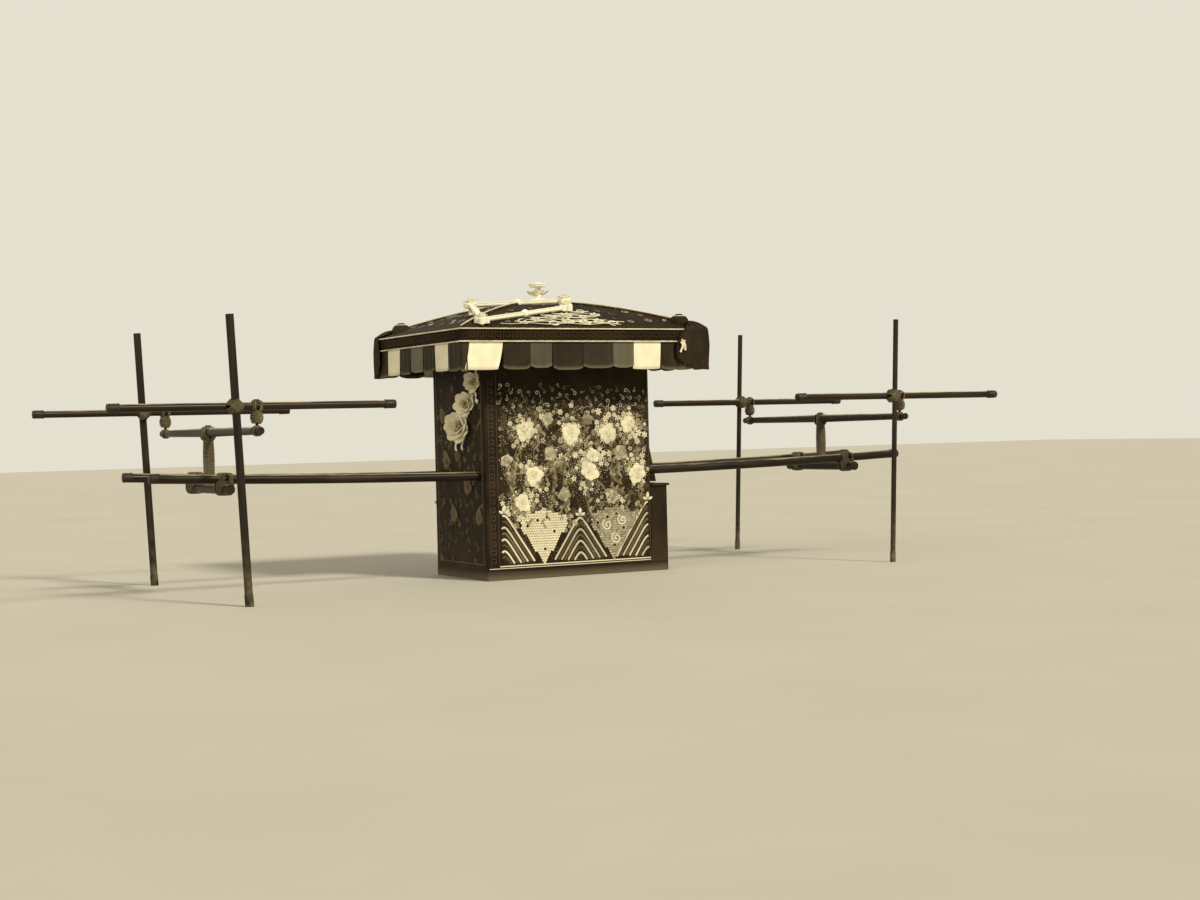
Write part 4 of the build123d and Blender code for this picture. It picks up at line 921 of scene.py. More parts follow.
def side_embroidery(hand, turned):
    """One panel's picture: peonies on leafy stems, sown about with small flowers, over striped waves."""
    chance = random.Random(31)
    work = Patchwork()
    for x, z, radius in BLOSSOMS:
        glow = chance.uniform(0.86, 1.00) if (x, z, radius) in BRIGHT_BLOSSOMS else chance.uniform(0.42, 0.60)
        blossom(work, spot(x, z, 0.0022), radius, RIGHT, AHEAD, chance.uniform(0.0, 0.8), chance, glow)
    work.finish(f"peonies_{hand}", "ivory_thread", SATIN, turned=turned)
    waves_and_scales(hand, turned)
    stems = Patchwork()
    paths = [arc(start, end, bulge, 18) for start, end, bulge in STEMS]
    for path in paths:
        stems.ribbon(on_side(path), width=0.0075, rise=0.0018, facing=RIGHT, tone=0.5)
    stems.finish(f"stems_{hand}", "leaf_thread", SATIN, turned=turned)
    TREES["along"].grow(make_curves([on_side(path, 0.0010) for path in paths]), f"stem_leaves_{hand}", "leaf_thread",
                        SATIN, turned=turned, Motif=MOTIFS["leaf"], Spacing=0.024, Size=0.044, Spread=0.95,
                        Facing=tuple(RIGHT), Seed=5)
    corner = spot(*FIELD_LOW)
    ground = field(f"sown_{hand}", corner, AHEAD, FIELD_SIZE, dense, glowing)
    clouds = field(f"sky_{hand}", corner, AHEAD, FIELD_SIZE, sky)
    for base, name, group, paint, spacing, sizes, tones, seed in (
            (ground, "small_flowers", "flowers", "ivory_thread", 0.030, (0.024, 0.044), (-0.25, 0.75), 11),
            (ground, "leaf_sprays", "sprays", "leaf_thread", 0.028, (0.028, 0.046), (-0.15, 0.55), 12),
            (ground, "seed_stitches", "stitches", "ivory_thread", 0.0105, (0.008, 0.014), (-0.2, 0.9), 13),
            (clouds, "cloud_curls", "curls", "ivory_thread", 0.046, (0.020, 0.038), (-0.2, 0.35), 21)):
        sow(base, f"{name}_{hand}", group, paint, SATIN, spacing, sizes, tones, seed, turned)
    panel_borders(hand, turned)


def key_fret(work, base, right, up, facing, key, width, rise, tone):
    """One key of a fret, in straight stitches: base, then the lengths of its two ways."""
    path = [base + a * right + b * up for a, b in key]
    for a, b in zip(path[:-1], path[1:]):
        work.ribbon(straight(a, b, 2), width, rise, facing, tone)


def panel_borders(hand, turned):
    """A couched cord round the picture, and a band of key fret down the dark rear border."""
    work = Patchwork()
    left, right, foot, top = FIELD_LOW[0] - 0.010, FIELD_HIGH[0] + 0.004, FIELD_LOW[1] - 0.010, FIELD_HIGH[1] + 0.05
    for start, end, count, width, rise, tone in (
            ((left, foot), (right, foot), 30, 0.007, 0.0024, 0.8),
            ((-0.527, 0.066), (0.527, 0.066), 30, 0.005, 0.0020, 0.65),
            ((left, foot), (left, top), 40, 0.004, 0.0018, 0.12),
            ((right, foot), (right, top), 40, 0.004, 0.0018, 0.12)):
        work.ribbon(on_side(straight(start, end, count)), width, rise, RIGHT, tone)
    work.finish(f"couched_frame_{hand}", "ivory_thread", SATIN, turned=turned)
    fret = Patchwork()
    key = ((0.0, 0.0), (0.0, 1.0), (1.0, 1.0), (1.0, 0.35), (0.5, 0.35), (0.5, 0.65))
    step, keys = 0.048, 22
    for i in range(keys):
        key_fret(fret, spot(-0.514, 0.085 + i * step), 0.030 * AHEAD, 0.78 * step * UP, RIGHT, key, width=0.0034,
                 rise=0.0012, tone=0.55)
    fret.finish(f"key_fret_{hand}", "dim_thread", SATIN, turned=turned)


def rear_embroidery():
    """A few dim flowers on the dark rear wall, with a couched border."""
    face = -REAR_FACE - CLOTH_PROUD
    work = Patchwork()
    for y, z, radius in ((0.177, 0.670, 0.060), (-0.107, 0.528, 0.062), (-0.250, 0.351, 0.052), (0.090, 0.360, 0.055),
                         (0.215, 0.930, 0.050), (0.020, 0.700, 0.040)):
        blossom(work, np.array([face, y, z]), radius, BACK, RIGHT, y, random.Random(9))
    work.finish("rear_peonies", "dim_thread", "dark_satin")
    border = Patchwork()
    half, foot, top = 0.305, 0.09, 1.30
    for a, b in (((-half, foot), (-half, top)), ((half, foot), (half, top)), ((-half, foot), (half, foot))):
        border.ribbon(set_off(straight(a, b, 40), 0, face), width=0.006, rise=0.002, facing=BACK, tone=0.9)
    border.finish("rear_border", "dim_thread", "dark_satin")

    sown_half, sown_foot = 0.29, 0.10

    def sown(u, v):
        """Clear of the poles' holes, and thin above."""
        y, z = sown_half - u, sown_foot + v
        clear = 0.0 if math.hypot(abs(y) - MAIN_POLE_Y, z - WALL_HOLE_Z) < 0.05 else 1.0
        return clear * (0.5 if z < 1.0 else 0.2)

    ground = field("rear_ground", np.array([face, sown_half, sown_foot]), RIGHT, (2.0 * sown_half, 1.15), sown)
    for name, group, spacing, sizes, seed in (("rear_sprays", "sprays", 0.055, (0.035, 0.06), 3),
                                              ("rear_flowers", "flowers", 0.075, (0.03, 0.05), 4)):
        sow(ground, name, group, "dim_thread", "dark_satin", spacing, sizes, (-0.2, 0.4), seed)


def apron_embroidery():
    """The apron in front of the doorway: stripes of water below, small flowers over them."""
    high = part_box("apron_board")[1]
    x, half = high.x + CLOTH_PROUD, high.y - 0.03
    foot, crest, pitch = 0.075, 0.22, 0.024
    work = Patchwork()
    for peak in (-half * 0.66, 0.0, half * 0.66):
        for k, tone in enumerate((1.0, 0.4, 0.85, 0.5, 1.0)):
            top = crest - k * pitch
            for hand in (-1.0, 1.0):
                path = arc((peak, top), (peak + hand * (top - foot) / 1.12, foot), -0.03 * hand, 10)
                path = path[np.abs(path[:, 0]) < half]
                if len(path) > 3:
                    work.ribbon(set_off(path, 0, x), width=0.011, rise=0.002, facing=AHEAD, tone=tone)
    for y, z, radius in ((0.0, 0.36, 0.055), (-half * 0.62, 0.33, 0.045), (half * 0.62, 0.33, 0.045)):
        blossom(work, np.array([x, y, z]), radius, AHEAD, LEFT, y, random.Random(10))
    work.finish("apron_picture", "ivory_thread", "dark_satin")
    ground = field("apron_ground", np.array([x, -half, 0.2]), LEFT, (2 * half, 0.27), lambda u, v: min(1.0, v / 0.06))
    for name, group, paint, spacing, seed in (("apron_flowers", "flowers", "ivory_thread", 0.036, 7),
                                              ("apron_leaves", "sprays", "leaf_thread", 0.032, 8)):
        sow(ground, name, group, paint, "dark_satin", spacing, (0.028, 0.046), (0.0, 0.5), seed)


# Valances, fascia and roof
# Strips along the right side from rear to front: end, tone, extra drop, sway back at the hem
RIGHT_STRIPS = ((-0.735, 0.02, 0.010, 0.004), (-0.530, 1.00, 0.002, 0.034), (-0.363, 0.01, 0.000, 0.0),
                (-0.226, 0.07, -0.008, 0.004), (-0.030, 0.01, 0.004, 0.0), (0.165, 0.02, -0.004, 0.002),
                (0.300, 0.12, -0.006, 0.006), (0.480, 0.97, 0.004, 0.010), (0.640, 0.01, 0.008, 0.0),
                (0.785, 0.02, 0.004, 0.0))
SHORT_STRIPS = ((-0.430, 0.02, 0.006, 0.0), (-0.250, 0.90, 0.0, 0.008), (-0.085, 0.02, 0.0, 0.0),
                (0.085, 0.15, -0.006, 0.004), (0.250, 0.02, 0.0, 0.0), (0.430, 0.90, 0.0, 0.006),
                (0.600, 0.02, 0.006, 0.0))
VALANCE_TOP, VALANCE_FOOT = FASCIA_BOTTOM + 0.004, 1.183
SEAM, PLEAT_STEP = 0.0012, 0.0075


def valance(name, strips, start, reach, out, seed):
    """One side's hanging: strips of silk sewn edge to edge, softly pleated, each with a rounded hem."""
    chance = random.Random(seed)
    work = Patchwork()
    along, drop = np.abs([out[1], out[0], 0.0]), VALANCE_TOP - VALANCE_FOOT
    previous = start
    for end, tone, longer, sway in strips:
        a, b = previous + SEAM, end - SEAM
        phase, folds = chance.uniform(0.0, 6.28), chance.uniform(2.0, 3.2)
        hem, pleat = (0.004, 0.0022) if tone > 0.5 else (0.013, 0.0052)

        def place(v, u):
            ripple = math.sin(phase + folds * 6.283 * u) + 0.7 * v * math.sin(9.0 * u + phase)
            x = a + (b - a) * u - sway * v ** 1.6
            y = reach - 0.0065 + ripple * pleat * v ** 0.8 + 0.004 * v
            z = VALANCE_TOP - (drop + longer - hem * (2.0 * u - 1.0) ** 4) * v
            return along * x + out * y + UP * z, (u * (b - a), (1.0 - v) * drop)

        work.sheet(15, max(9, int((end - previous) / PLEAT_STEP)), place, tone)
        previous = end
    obj = work.finish(f"valance_silk_{name}", "valance_cloth")
    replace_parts(obj, f"valance_{name}")


def valances():
    ends, tones = reversed(RIGHT_STRIPS[:-1]), reversed(RIGHT_STRIPS[1:])
    left = [(-end, *other) for (end, *_), (_, *other) in zip(ends, tones)]
    left.append((EAVE_X, RIGHT_STRIPS[0][1], 0.010, 0.0))
    valance("right", RIGHT_STRIPS, -EAVE_X, EAVE_Y, RIGHT, 3)
    valance("left", left, -EAVE_X, EAVE_Y, LEFT, 4)
    valance("front", SHORT_STRIPS, -EAVE_Y, EAVE_X, AHEAD, 5)
    valance("rear", SHORT_STRIPS, -EAVE_Y, EAVE_X, BACK, 6)


def roof_height(x, y):
    t = np.maximum(np.abs(x) / EAVE_X, np.abs(y) / EAVE_Y)
    return EAVE_TOP + ROOF_RISE * (1.0 - t) + 4.0 * ROOF_CAMBER * t * (1.0 - t)


def on_roof(path, over):
    return set_off(path, 2, roof_height(path[:, 0], path[:, 1]) + over)


def rounded(half_x, half_y, corner, steps):
    """Plane rectangle with rounded corners, its last point on the first."""
    outline = []
    for k, (sx, sy) in enumerate(((1, 1), (-1, 1), (-1, -1), (1, -1))):
        for angle in np.radians(90.0 * k + np.linspace(0.0, 90.0, steps)):
            outline.append((sx * (half_x - corner) + corner * math.cos(angle),
                            sy * (half_y - corner) + corner * math.sin(angle)))
    return np.array(outline + outline[:1])


def resample(points, step):
    run = lengths(points)
    marks = np.linspace(0.0, run[-1], max(2, int(run[-1] / step) + 1))
    return np.stack([np.interp(marks, run, points[:, i]) for i in range(3)], axis=1)


def eave_cords():
    """Twisted pale cords along both edges of the fascia, and down the roof's four hips."""
    edge = rounded(EAVE_X + 0.0028, EAVE_Y + 0.0028, 0.012, 5)
    lines = [resample(set_off(edge, 2, z), 0.008) for z in (FASCIA_TOP, FASCIA_BOTTOM)]
    for corner in SIGNS:
        outer = (EAVE_X - 0.01, EAVE_Y - 0.008) if corner == BARE_CORNER else KNOT_PLACE
        lines.append(on_roof(straight(outer, CROWN_FOOT, 120) * corner, RIB_TOP + 0.0035))
    TREES["rope"].grow(make_curves(lines), "eave_cords", "pale_cord", "fascia_cloth", Radius=0.0050, Lay=0.028)


def fascia_pattern():
    """Dim key fret sewn along the fascia."""
    work = Patchwork()
    key = ((0.0, 0.0), (0.0, 1.0), (1.0, 1.0), (1.0, 0.25), (0.45, 0.25), (0.45, 0.62))
    size, pitch, margin, foot = 0.036, 0.052, 0.05, 1.354
    for out, along, reach, half in ((RIGHT, AHEAD, EAVE_Y, EAVE_X), (LEFT, BACK, EAVE_Y, EAVE_X),
                                    (AHEAD, LEFT, EAVE_X, EAVE_Y), (BACK, RIGHT, EAVE_X, EAVE_Y)):
        room = 2.0 * (half - margin)
        count = int(room / pitch)
        for i in range(count):
            base = along * (margin - half + i * room / count) + out * (reach + 0.0012) + UP * foot
            key_fret(work, base, size * along, size * UP, out, key, width=0.0040, rise=0.0012, tone=0.3)
    work.finish("fascia_fret", "dim_thread", "fascia_cloth")


# Long embroidered bands on the two long slopes: X from, X to, Y there and there, width, tone
CLOUD_BANDS = ((-0.52, 0.24, 0.555, 0.557, 0.018, 0.55), (-0.42, 0.28, 0.527, 0.532, 0.026, 0.95),
               (-0.34, 0.18, 0.500, 0.500, 0.022, 0.60), (-0.30, 0.14, 0.467, 0.462, 0.027, 0.92),
               (-0.21, 0.14, 0.434, 0.428, 0.026, 0.80), (-0.12, 0.12, 0.402, 0.398, 0.022, 0.62),
               (0.02, 0.14, 0.362, 0.360, 0.024, 0.75))
LARGE_FIGURES = ((-0.36, -0.53), (-0.27, -0.50), (-0.19, -0.545), (-0.15, -0.46), (-0.08, -0.52), (-0.04, -0.43),
                 (0.02, -0.54), (0.06, -0.46), (0.12, -0.52), (0.15, -0.42), (0.21, -0.54), (0.10, -0.35))
FIGURE_TRIES, FIGURE_CLEAR = 900, 0.075       # places tried for small figures, and the room round each
FIGURE_PROUD = 0.0028


def roof_figure(work, x, y, size, kind, turn, tone):
    """A flower or a scroll laid on the roof's slope."""
    step = 0.004
    slope_x = (roof_height(x + step, y) - roof_height(x - step, y)) / (2 * step)
    slope_y = (roof_height(x, y + step) - roof_height(x, y - step)) / (2 * step)
    facing = np.array([-slope_x, -slope_y, 1.0])
    facing /= np.linalg.norm(facing)
    across = np.cross(LEFT, facing)
    across /= np.linalg.norm(across)
    place = np.array([x, y, roof_height(x, y)]) + facing * FIGURE_PROUD
    if kind == "bloom":
        work.petals(place, size, 6, turn, facing, across, tone, width=0.66, rise=0.08, inner=0.15)
        work.petals(place + facing * 0.002, size * 0.5, 5, turn, facing, across, tone * 0.6, width=0.8, rise=0.15)
    else:
        scroll = spiral((0.0, 0.0), size, 1.2, turn, 1.0 if kind == "left" else -1.0, 18)
        path = place + scroll[:, :1] * across + scroll[:, 1:] * np.cross(facing, across)
        work.ribbon(path, size * 0.30, 0.0025, facing, tone, tapered=True)


def roof_embroidery():
    """Ivory scrolls and flowers lying on all four slopes, thickest half way along."""
    work = Patchwork()
    chance = random.Random(77)
    spots = []
    for side in (-1.0, 1.0):
        for start, end, first, last, width, tone in CLOUD_BANDS:
            path = straight((start, first), (end, last), 46)
            path[:, 1] += 0.007 * np.sin(np.linspace(0.0, 26.0 * (end - start), len(path)))
            work.ribbon(on_roof(path * (1.0, side), 0.0034), width, 0.0028, (0.0, 0.24 * side, 0.97), tone,
                        tapered=True)

    def drawn(low, high):
        return chance.uniform(low, high), chance.choice(("bloom", "left", "right")), chance.uniform(0, 6.28)

    for x, y in LARGE_FIGURES:
        figure = drawn(0.034, 0.044)
        for side in (1.0, -1.0):
            spots.append((x, side * y))
            roof_figure(work, x, side * y, *figure, 1.0)
    for _ in range(FIGURE_TRIES):
        x, y = chance.uniform(-0.70, 0.70), chance.uniform(-0.53, 0.53)
        t_x, t_y = abs(x) / EAVE_X, abs(y) / EAVE_Y
        near_edge = abs(t_x - t_y) < 0.09 or not 0.16 <= max(t_x, t_y) <= 0.93
        if near_edge or any(math.hypot(x - a, y - b) < FIGURE_CLEAR for a, b in spots):
            continue
        spots.append((x, y))
        roof_figure(work, x, y, *drawn(0.016, 0.026), chance.uniform(0.15, 0.5))
    work.finish("roof_figures", "ivory_thread", "roof_brocade")


# Corners of the crown rail: place, and height over the roof. Its bead rows lie on the rail, clear of the knobs
CROWN = ((-0.635, -0.560, 0.026), (-0.010, -0.370, 0.030), (0.058, -0.224, 0.032), (-0.480, -0.080, 0.056))
CROWN_METAL = "white_metal"
RAIL_RADIUS, KNOB_CLEAR = 0.0135, 0.03
BEAD_SIZE, BEAD_PITCH = 0.0085, 0.0088


def crown_detail():
    """Bead rows and petal cups on the white crown rail and its knobs, and round the finial."""
    corners = [np.array([x, y, float(roof_height(x, y)) + over]) for x, y, over in CROWN]
    lines = []
    for start, end in zip(corners, corners[1:] + corners[:1]):
        along = (end - start) / np.linalg.norm(end - start)
        side = np.cross(along, UP)
        side /= np.linalg.norm(side)
        for angle in np.radians((35.0, 145.0, 270.0)):
            off = side * math.cos(angle) + np.cross(side, along) * math.sin(angle)
            lines.append(straight(start + along * KNOB_CLEAR + off * RAIL_RADIUS,
                                  end - along * KNOB_CLEAR + off * RAIL_RADIUS, 12))
    low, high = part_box("finial")
    middle = ((low.x + high.x) / 2.0, (low.y + high.y) / 2.0)
    for radius, z in ((0.0785, low.z + 0.012), (0.030, low.z + 0.062), (0.0505, high.z - 0.013)):
        lines.append(set_off(circle(40) * radius + middle, 2, z))
    TREES["along"].grow(make_curves(lines), "crown_beads", CROWN_METAL, Motif=MOTIFS["bead"], Spacing=BEAD_PITCH,
                        Size=BEAD_SIZE, Spread=0.0, Facing=tuple(UP), Seed=2)
    for i, place in enumerate(corners):
        whorl(f"crown_cup_{i}", "petal_broad", place + 0.014 * UP, UP, CROWN_METAL, count=14, radius=0.040,
              height=0.026, tilts=(0.25, 1.35), seed=40 + i)
    whorl("finial_lotus", "petal_broad", (*middle, low.z + 0.040), UP, CROWN_METAL, count=16, radius=0.070,
          height=0.03, tilts=(0.30, 0.9), seed=50)


def whorl(name, motif, place, facing, paint, slot=None, *, count, radius, height, tilts, seed):
    """A grown flower set down at a place, looking along facing: tilts are its outer and inner petals'."""
    base = hide(make_mesh("whorl_base", [(0.0, 0.0, 0.0)], []))
    obj = TREES["whorl"].grow(base, name, paint, slot, Petal=MOTIFS[motif], Count=count, Radius=radius,
                              Height=height, Open=tilts[0], Shut=tilts[1], Seed=seed)
    turn = Vector(facing).to_track_quat("Z", "Y").to_matrix().to_4x4()
    obj.data.transform(Matrix.Translation(Vector(place)) @ turn)


ROSETTES = ((-0.226, 1.122, 0.052), (-0.134, 1.005, 0.066), (-0.037, 0.876, 0.084))
ROSETTE_FACING = (-0.82, -0.55, 0.14)
# The garland's ribbon on the rear wall, as Y and Z of each strand's ends and its bow, and its leaves with their turn
STRANDS = (((-0.330, 1.225), (-0.226, 1.122), 0.12), ((-0.226, 1.122), (-0.134, 1.005), -0.1),
           ((-0.134, 1.005), (-0.037, 0.876), 0.1), ((-0.037, 0.876), (0.010, 0.735), 0.15),
           ((-0.037, 0.876), (-0.070, 0.742), -0.12), ((-0.226, 1.122), (-0.300, 1.010), 0.15))
GARLAND_LEAVES = ((-0.180, 1.060, 0.3), (-0.180, 1.060, 3.3), (-0.088, 0.940, 0.5), (-0.088, 0.940, 3.6),
                  (-0.270, 1.160, 1.2), (-0.270, 1.160, 4.2), (0.040, 0.860, 5.8), (-0.110, 0.850, 3.6))


def garland():
    """White silk rosettes with leaves, caught up across the rear on a ribbon from the right-hand corner."""
    chance = random.Random(12)
    for i, (y, z, r) in enumerate(ROSETTES):
        whorl(f"rosette_{i}", "petal_broad", (-REAR_FACE - 0.008 - 0.16 * r, y - 0.022, z), ROSETTE_FACING,
              "white_silk", count=34, radius=r * 1.28, height=r * 0.9, tilts=(0.16, 1.25), seed=60 + i)
        whorl(f"rosette_heart_{i}", "petal_narrow", (-REAR_FACE - 0.014 - 0.33 * r, y - 0.034, z), ROSETTE_FACING,
              "garland_silk", "white_silk", count=18, radius=r * 0.34, height=r * 0.4, tilts=(0.8, 1.45), seed=70 + i)
    work = Patchwork()
    for a, b, bulge in STRANDS:
        path = arc(a, b, bulge, 14)
        lift = 0.010 + 0.008 * np.sin(np.linspace(0.0, 9.0, len(path)))
        work.ribbon(set_off(path, 0, -REAR_FACE - lift), width=0.024, rise=0.004, facing=BACK, tone=0.9)
    for y, z, turn in GARLAND_LEAVES:
        work.petals(np.array([-REAR_FACE - 0.012, y, z]), chance.uniform(0.055, 0.075), 2, turn, BACK, RIGHT, 0.35,
                    width=0.42, rise=0.12, cup=0.15)
    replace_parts(work.finish("garland_ribbon", "garland_silk", "white_silk"), "rear_garland")


KNOT_RADIUS, KNOT_GATHERS = 0.055, 14.0
TIE_RADIUS, TIE_RISE = 0.036, 0.042           # the cord round a knot's top, and how far over its middle


def corner_knots():
    """Dark silk gathered into a puffed knot over three of the roof's corners."""
    for i, corner in enumerate(KNOT_CORNERS):
        centre = np.array([*np.multiply(KNOT_PLACE, corner), KNOT_Z])

        def place(v, u):
            polar, around = math.pi * (0.02 + 0.80 * v), FULL * u
            creases = math.cos(KNOT_GATHERS * around + 1.5 * math.sin(3.0 * around))
            gather = 1.0 + 0.075 * creases * math.sin(polar) ** 0.6
            reach = KNOT_RADIUS * gather * (1.0 - 0.16 * math.exp(-((polar - 0.62) / 0.13) ** 2))
            out = np.array([math.sin(polar) * math.cos(around), math.sin(polar) * math.sin(around), math.cos(polar)])
            return centre + reach * out, (0.4 * u, polar * 0.05)

        obj = Patchwork().sheet(17, 56, place, 0.2, closed=True).finish(f"corner_knot_{i}", "dark_silk")
        if i == 0:
            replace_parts(obj, "corner_ornaments")
        tie = centre + set_off(circle(33) * TIE_RADIUS, 2, TIE_RISE)
        TREES["rope"].grow(make_curves([tie]), f"knot_tie_{i}", "pale_cord", "dark_silk", Radius=0.0035, Lay=0.02)


DRAPE_LONG, DRAPE_SHORT = 0.215, 0.095        # how far a drape goes along the roof's long side and its short one
DRAPE_DROP, DRAPE_LIFT = 0.247, 0.080         # its fall at the middle, and how much less at its sides
DRAPE_BEND = 0.030             # radius of the drapes' turn round the eave's corner
DRAPE_ON_ROOF = 0.28           # share of a drape that lies on the roof


def corner_drapes():
    """Dark silk drawn down from each knot over the eave's corner, full in the middle and round at the hem."""
    for i, corner in enumerate(KNOT_CORNERS):
        knot = np.multiply(KNOT_PLACE, corner)

        def place(v, u):
            """t runs across the cloth from -1 to 1; plan is a place on the eave's outline, and out its normal."""
            t = 2.0 * u - 1.0
            fan = 0.35 + 0.65 * math.sin(min(1.0, 1.2 * v) * math.pi / 2.0)
            spread = (DRAPE_SHORT if t > 0.0 else DRAPE_LONG) * t * fan
            run = abs(spread) - DRAPE_BEND * math.pi / 4.0
            bend_x, bend_y = EAVE_X - DRAPE_BEND, EAVE_Y - DRAPE_BEND
            if run <= 0.0:
                angle = math.pi / 4.0 - spread / DRAPE_BEND
                out = np.array([math.cos(angle), math.sin(angle)])
                plan = (bend_x, bend_y) + DRAPE_BEND * out
            elif spread > 0.0:
                plan, out = (EAVE_X, bend_y - run), (1.0, 0.0)
            else:
                plan, out = (bend_x - run, EAVE_Y), (0.0, 1.0)
            plan, out = np.multiply(plan, corner), np.multiply(out, corner)
            folds = math.sin(17.0 * t + 0.9 * math.sin(5.0 * v)) + 0.5 * math.sin(31.0 * t + 2.0 * v)
            if v < DRAPE_ON_ROOF:
                w = v / DRAPE_ON_ROOF
                start = knot + 0.030 * (plan - knot) / np.linalg.norm(plan - knot)
                x, y = start * (1.0 - w) + (plan + out * 0.016) * w
                base = float(roof_height(np.clip(x, -EAVE_X, EAVE_X), np.clip(y, -EAVE_Y, EAVE_Y)))
                z = base + 0.013 + 0.006 * math.sin(math.pi * w) * (1.0 + folds) - 0.002 * w
            else:
                w = (v - DRAPE_ON_ROOF) / (1.0 - DRAPE_ON_ROOF)
                swell = 0.016 + 0.007 * math.sin(math.pi * min(1.0, 1.15 * w)) * (1.0 - 0.5 * t * t)
                x, y = plan + out * (swell + 0.0060 * folds * (0.25 + 0.75 * w))
                z = EAVE_TOP + 0.011 - (DRAPE_DROP - DRAPE_LIFT * abs(t) ** 2.4) * w
            return (x, y, z), (0.19 * t, 0.36 * v)

        drape = Patchwork().sheet(34, 45, place, 0.1).finish(f"corner_drape_{i}", "dark_silk")


# The rope work
ROPE_RADIUS, ROPE_STEP = 0.0044, 0.008
COIL_PITCH, WRAP_PITCH = 0.0077, 0.0088
DIAGONAL = math.sqrt(0.5)
CROSSED = ((DIAGONAL, DIAGONAL, 0.0), (DIAGONAL, -DIAGONAL, 0.0))


def wrap(centre, first, second, halves, corner, turns, pitch=WRAP_PITCH):
    """A winding round two crossed timbers: a rounded rectangle in the plane of first and second, moving along
    their normal by pitch a turn."""
    outline = rounded(*halves, corner, 6)
    run = lengths(outline)
    t = np.linspace(0.0, turns, int(turns * run[-1] / ROPE_STEP))
    a, b = (np.interp((t % 1.0) * run[-1], run, outline[:, i])[:, None] for i in (0, 1))
    return centre + a * first + b * second + ((t - turns / 2.0) * pitch)[:, None] * np.cross(first, second)


def coil(x, y, low, high, radius, bulge):
    """An upright winding, stouter by bulge at its middle."""
    turns = (high - low) / COIL_PITCH
    t = np.linspace(0.0, 1.0, int(turns * FULL * (radius + bulge) / ROPE_STEP))
    angle, reach = FULL * turns * t, radius + bulge * np.sin(math.pi * t) ** 0.7
    return np.c_[x + reach * np.cos(angle), y + reach * np.sin(angle), low + (high - low) * t]


def ropes(name, lines, body, node):
    obj = TREES["rope"].grow(make_curves(lines), name, "hemp_rope", body=body, Radius=ROPE_RADIUS,
                             Lay=ROPE_RADIUS * 6.0)
    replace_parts(obj, node)


def yoke_ropes():
    """The main poles lashed down on the yokes: crossed turns, then frapping turns between."""
    low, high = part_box("yoke_lashings")
    lines = []
    for end, side in SIGNS:
        centre = (end * YOKE_X, side * MAIN_POLE_Y, (low.z + high.z) / 2.0)
        for across in CROSSED[::-1]:
            lines.append(wrap(centre, across, UP, (0.044, (high.z - low.z) / 2.0 - 0.005), corner=0.026, turns=6.0))
        lines.append(wrap(centre, AHEAD, LEFT, (0.0405, 0.0405), corner=0.018, turns=4.0, pitch=0.0086))
    ropes("yoke_rope", lines, "chair", "yoke_lashings")


def crossbar_ropes():
    """Each crossbar's sling on the yoke's pin, and a rope collar round each of its ends."""
    for end, where in ENDS:
        low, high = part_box(f"crossbar_sling_{where}")
        x = end * YOKE_X
        lines = [coil(x, 0.0, low.z + 0.005, min(high.z, 0.852), radius=0.0225, bulge=0.006)]
        for side in (-1.0, 1.0):
            centre = (x, side * END_PIN_Y, pole_end_height(f"crossbar_{where}", side, 1))
            for tilt in (0.12, -0.12):
                lines.append(wrap(centre, (1.0, tilt, 0.0), UP, (0.0245, 0.0245), corner=0.0244, turns=4.0,
                                  pitch=COIL_PITCH))
        for across in CROSSED:
            lines.append(wrap((x, 0.0, CROSSBAR_Z), across, UP, (0.036, 0.036), corner=0.024, turns=5.0))
        ropes(f"crossbar_rope_{where}", lines, f"crossbar_{where}_body", f"crossbar_sling_{where}")


def shoulder_ropes():
    """Each shoulder pole's sling on the crossbar's end pin, and the lashing of its staff."""
    for (end, where), (side, hand) in product(ENDS, SIDES):
        x, y = end * YOKE_X, side * END_PIN_Y
        low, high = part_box(f"staff_{where}_{hand}")
        inner, outer = y - side * 0.020, y + side * (high.y - low.y + 0.0164)
        middle, half = (inner + outer) / 2.0, abs(outer - inner) / 2.0 + 0.0046
        lines = [coil(x, y, low=0.913, high=0.974, radius=0.0200, bulge=0.011)]
        for across in CROSSED:
            lines.append(wrap((x, y, SHOULDER_Z), across, UP, (0.030, 0.027), corner=0.020, turns=3.0))
            diagonal = (across[0], 0.0, across[1])
            lines.append(wrap((STAFF_X[where], middle, SHOULDER_Z), LEFT, diagonal, (half, 0.034), corner=0.022,
                              turns=5.0))
        ropes(f"sling_rope_{where}_{hand}", lines, f"shoulder_{where}_{hand}", f"sling_{where}_{hand}")


def sleeve(work, place, axis, radius, length, rings=3):
    """A turned metal sleeve on a pole's end: rounded lip, ridges, and a domed cap."""
    side = np.cross(axis, UP)
    rise = np.cross(side, axis)
    skin = radius + 0.0006
    profile = [(0.0, radius), (0.002, radius + 0.0022), (0.006, radius + 0.0022), (0.008, skin)]
    for k in range(rings):
        z = length * (0.3 + 0.2 * k)
        profile += [(z - 0.003, skin), (z, radius + 0.0019), (z + 0.003, skin)]
    profile += [(length - 0.003, skin), (length, radius - 0.002), (length + 0.002, radius * 0.5),
                (length + 0.0025, 0.0004)]

    def at(v, u):
        z, r = profile[round(v * (len(profile) - 1))]
        return place + axis * z + r * (side * math.cos(FULL * u) + rise * math.sin(FULL * u)), (u, z)

    work.sheet(len(profile), 24, at, 0.5, closed=True)


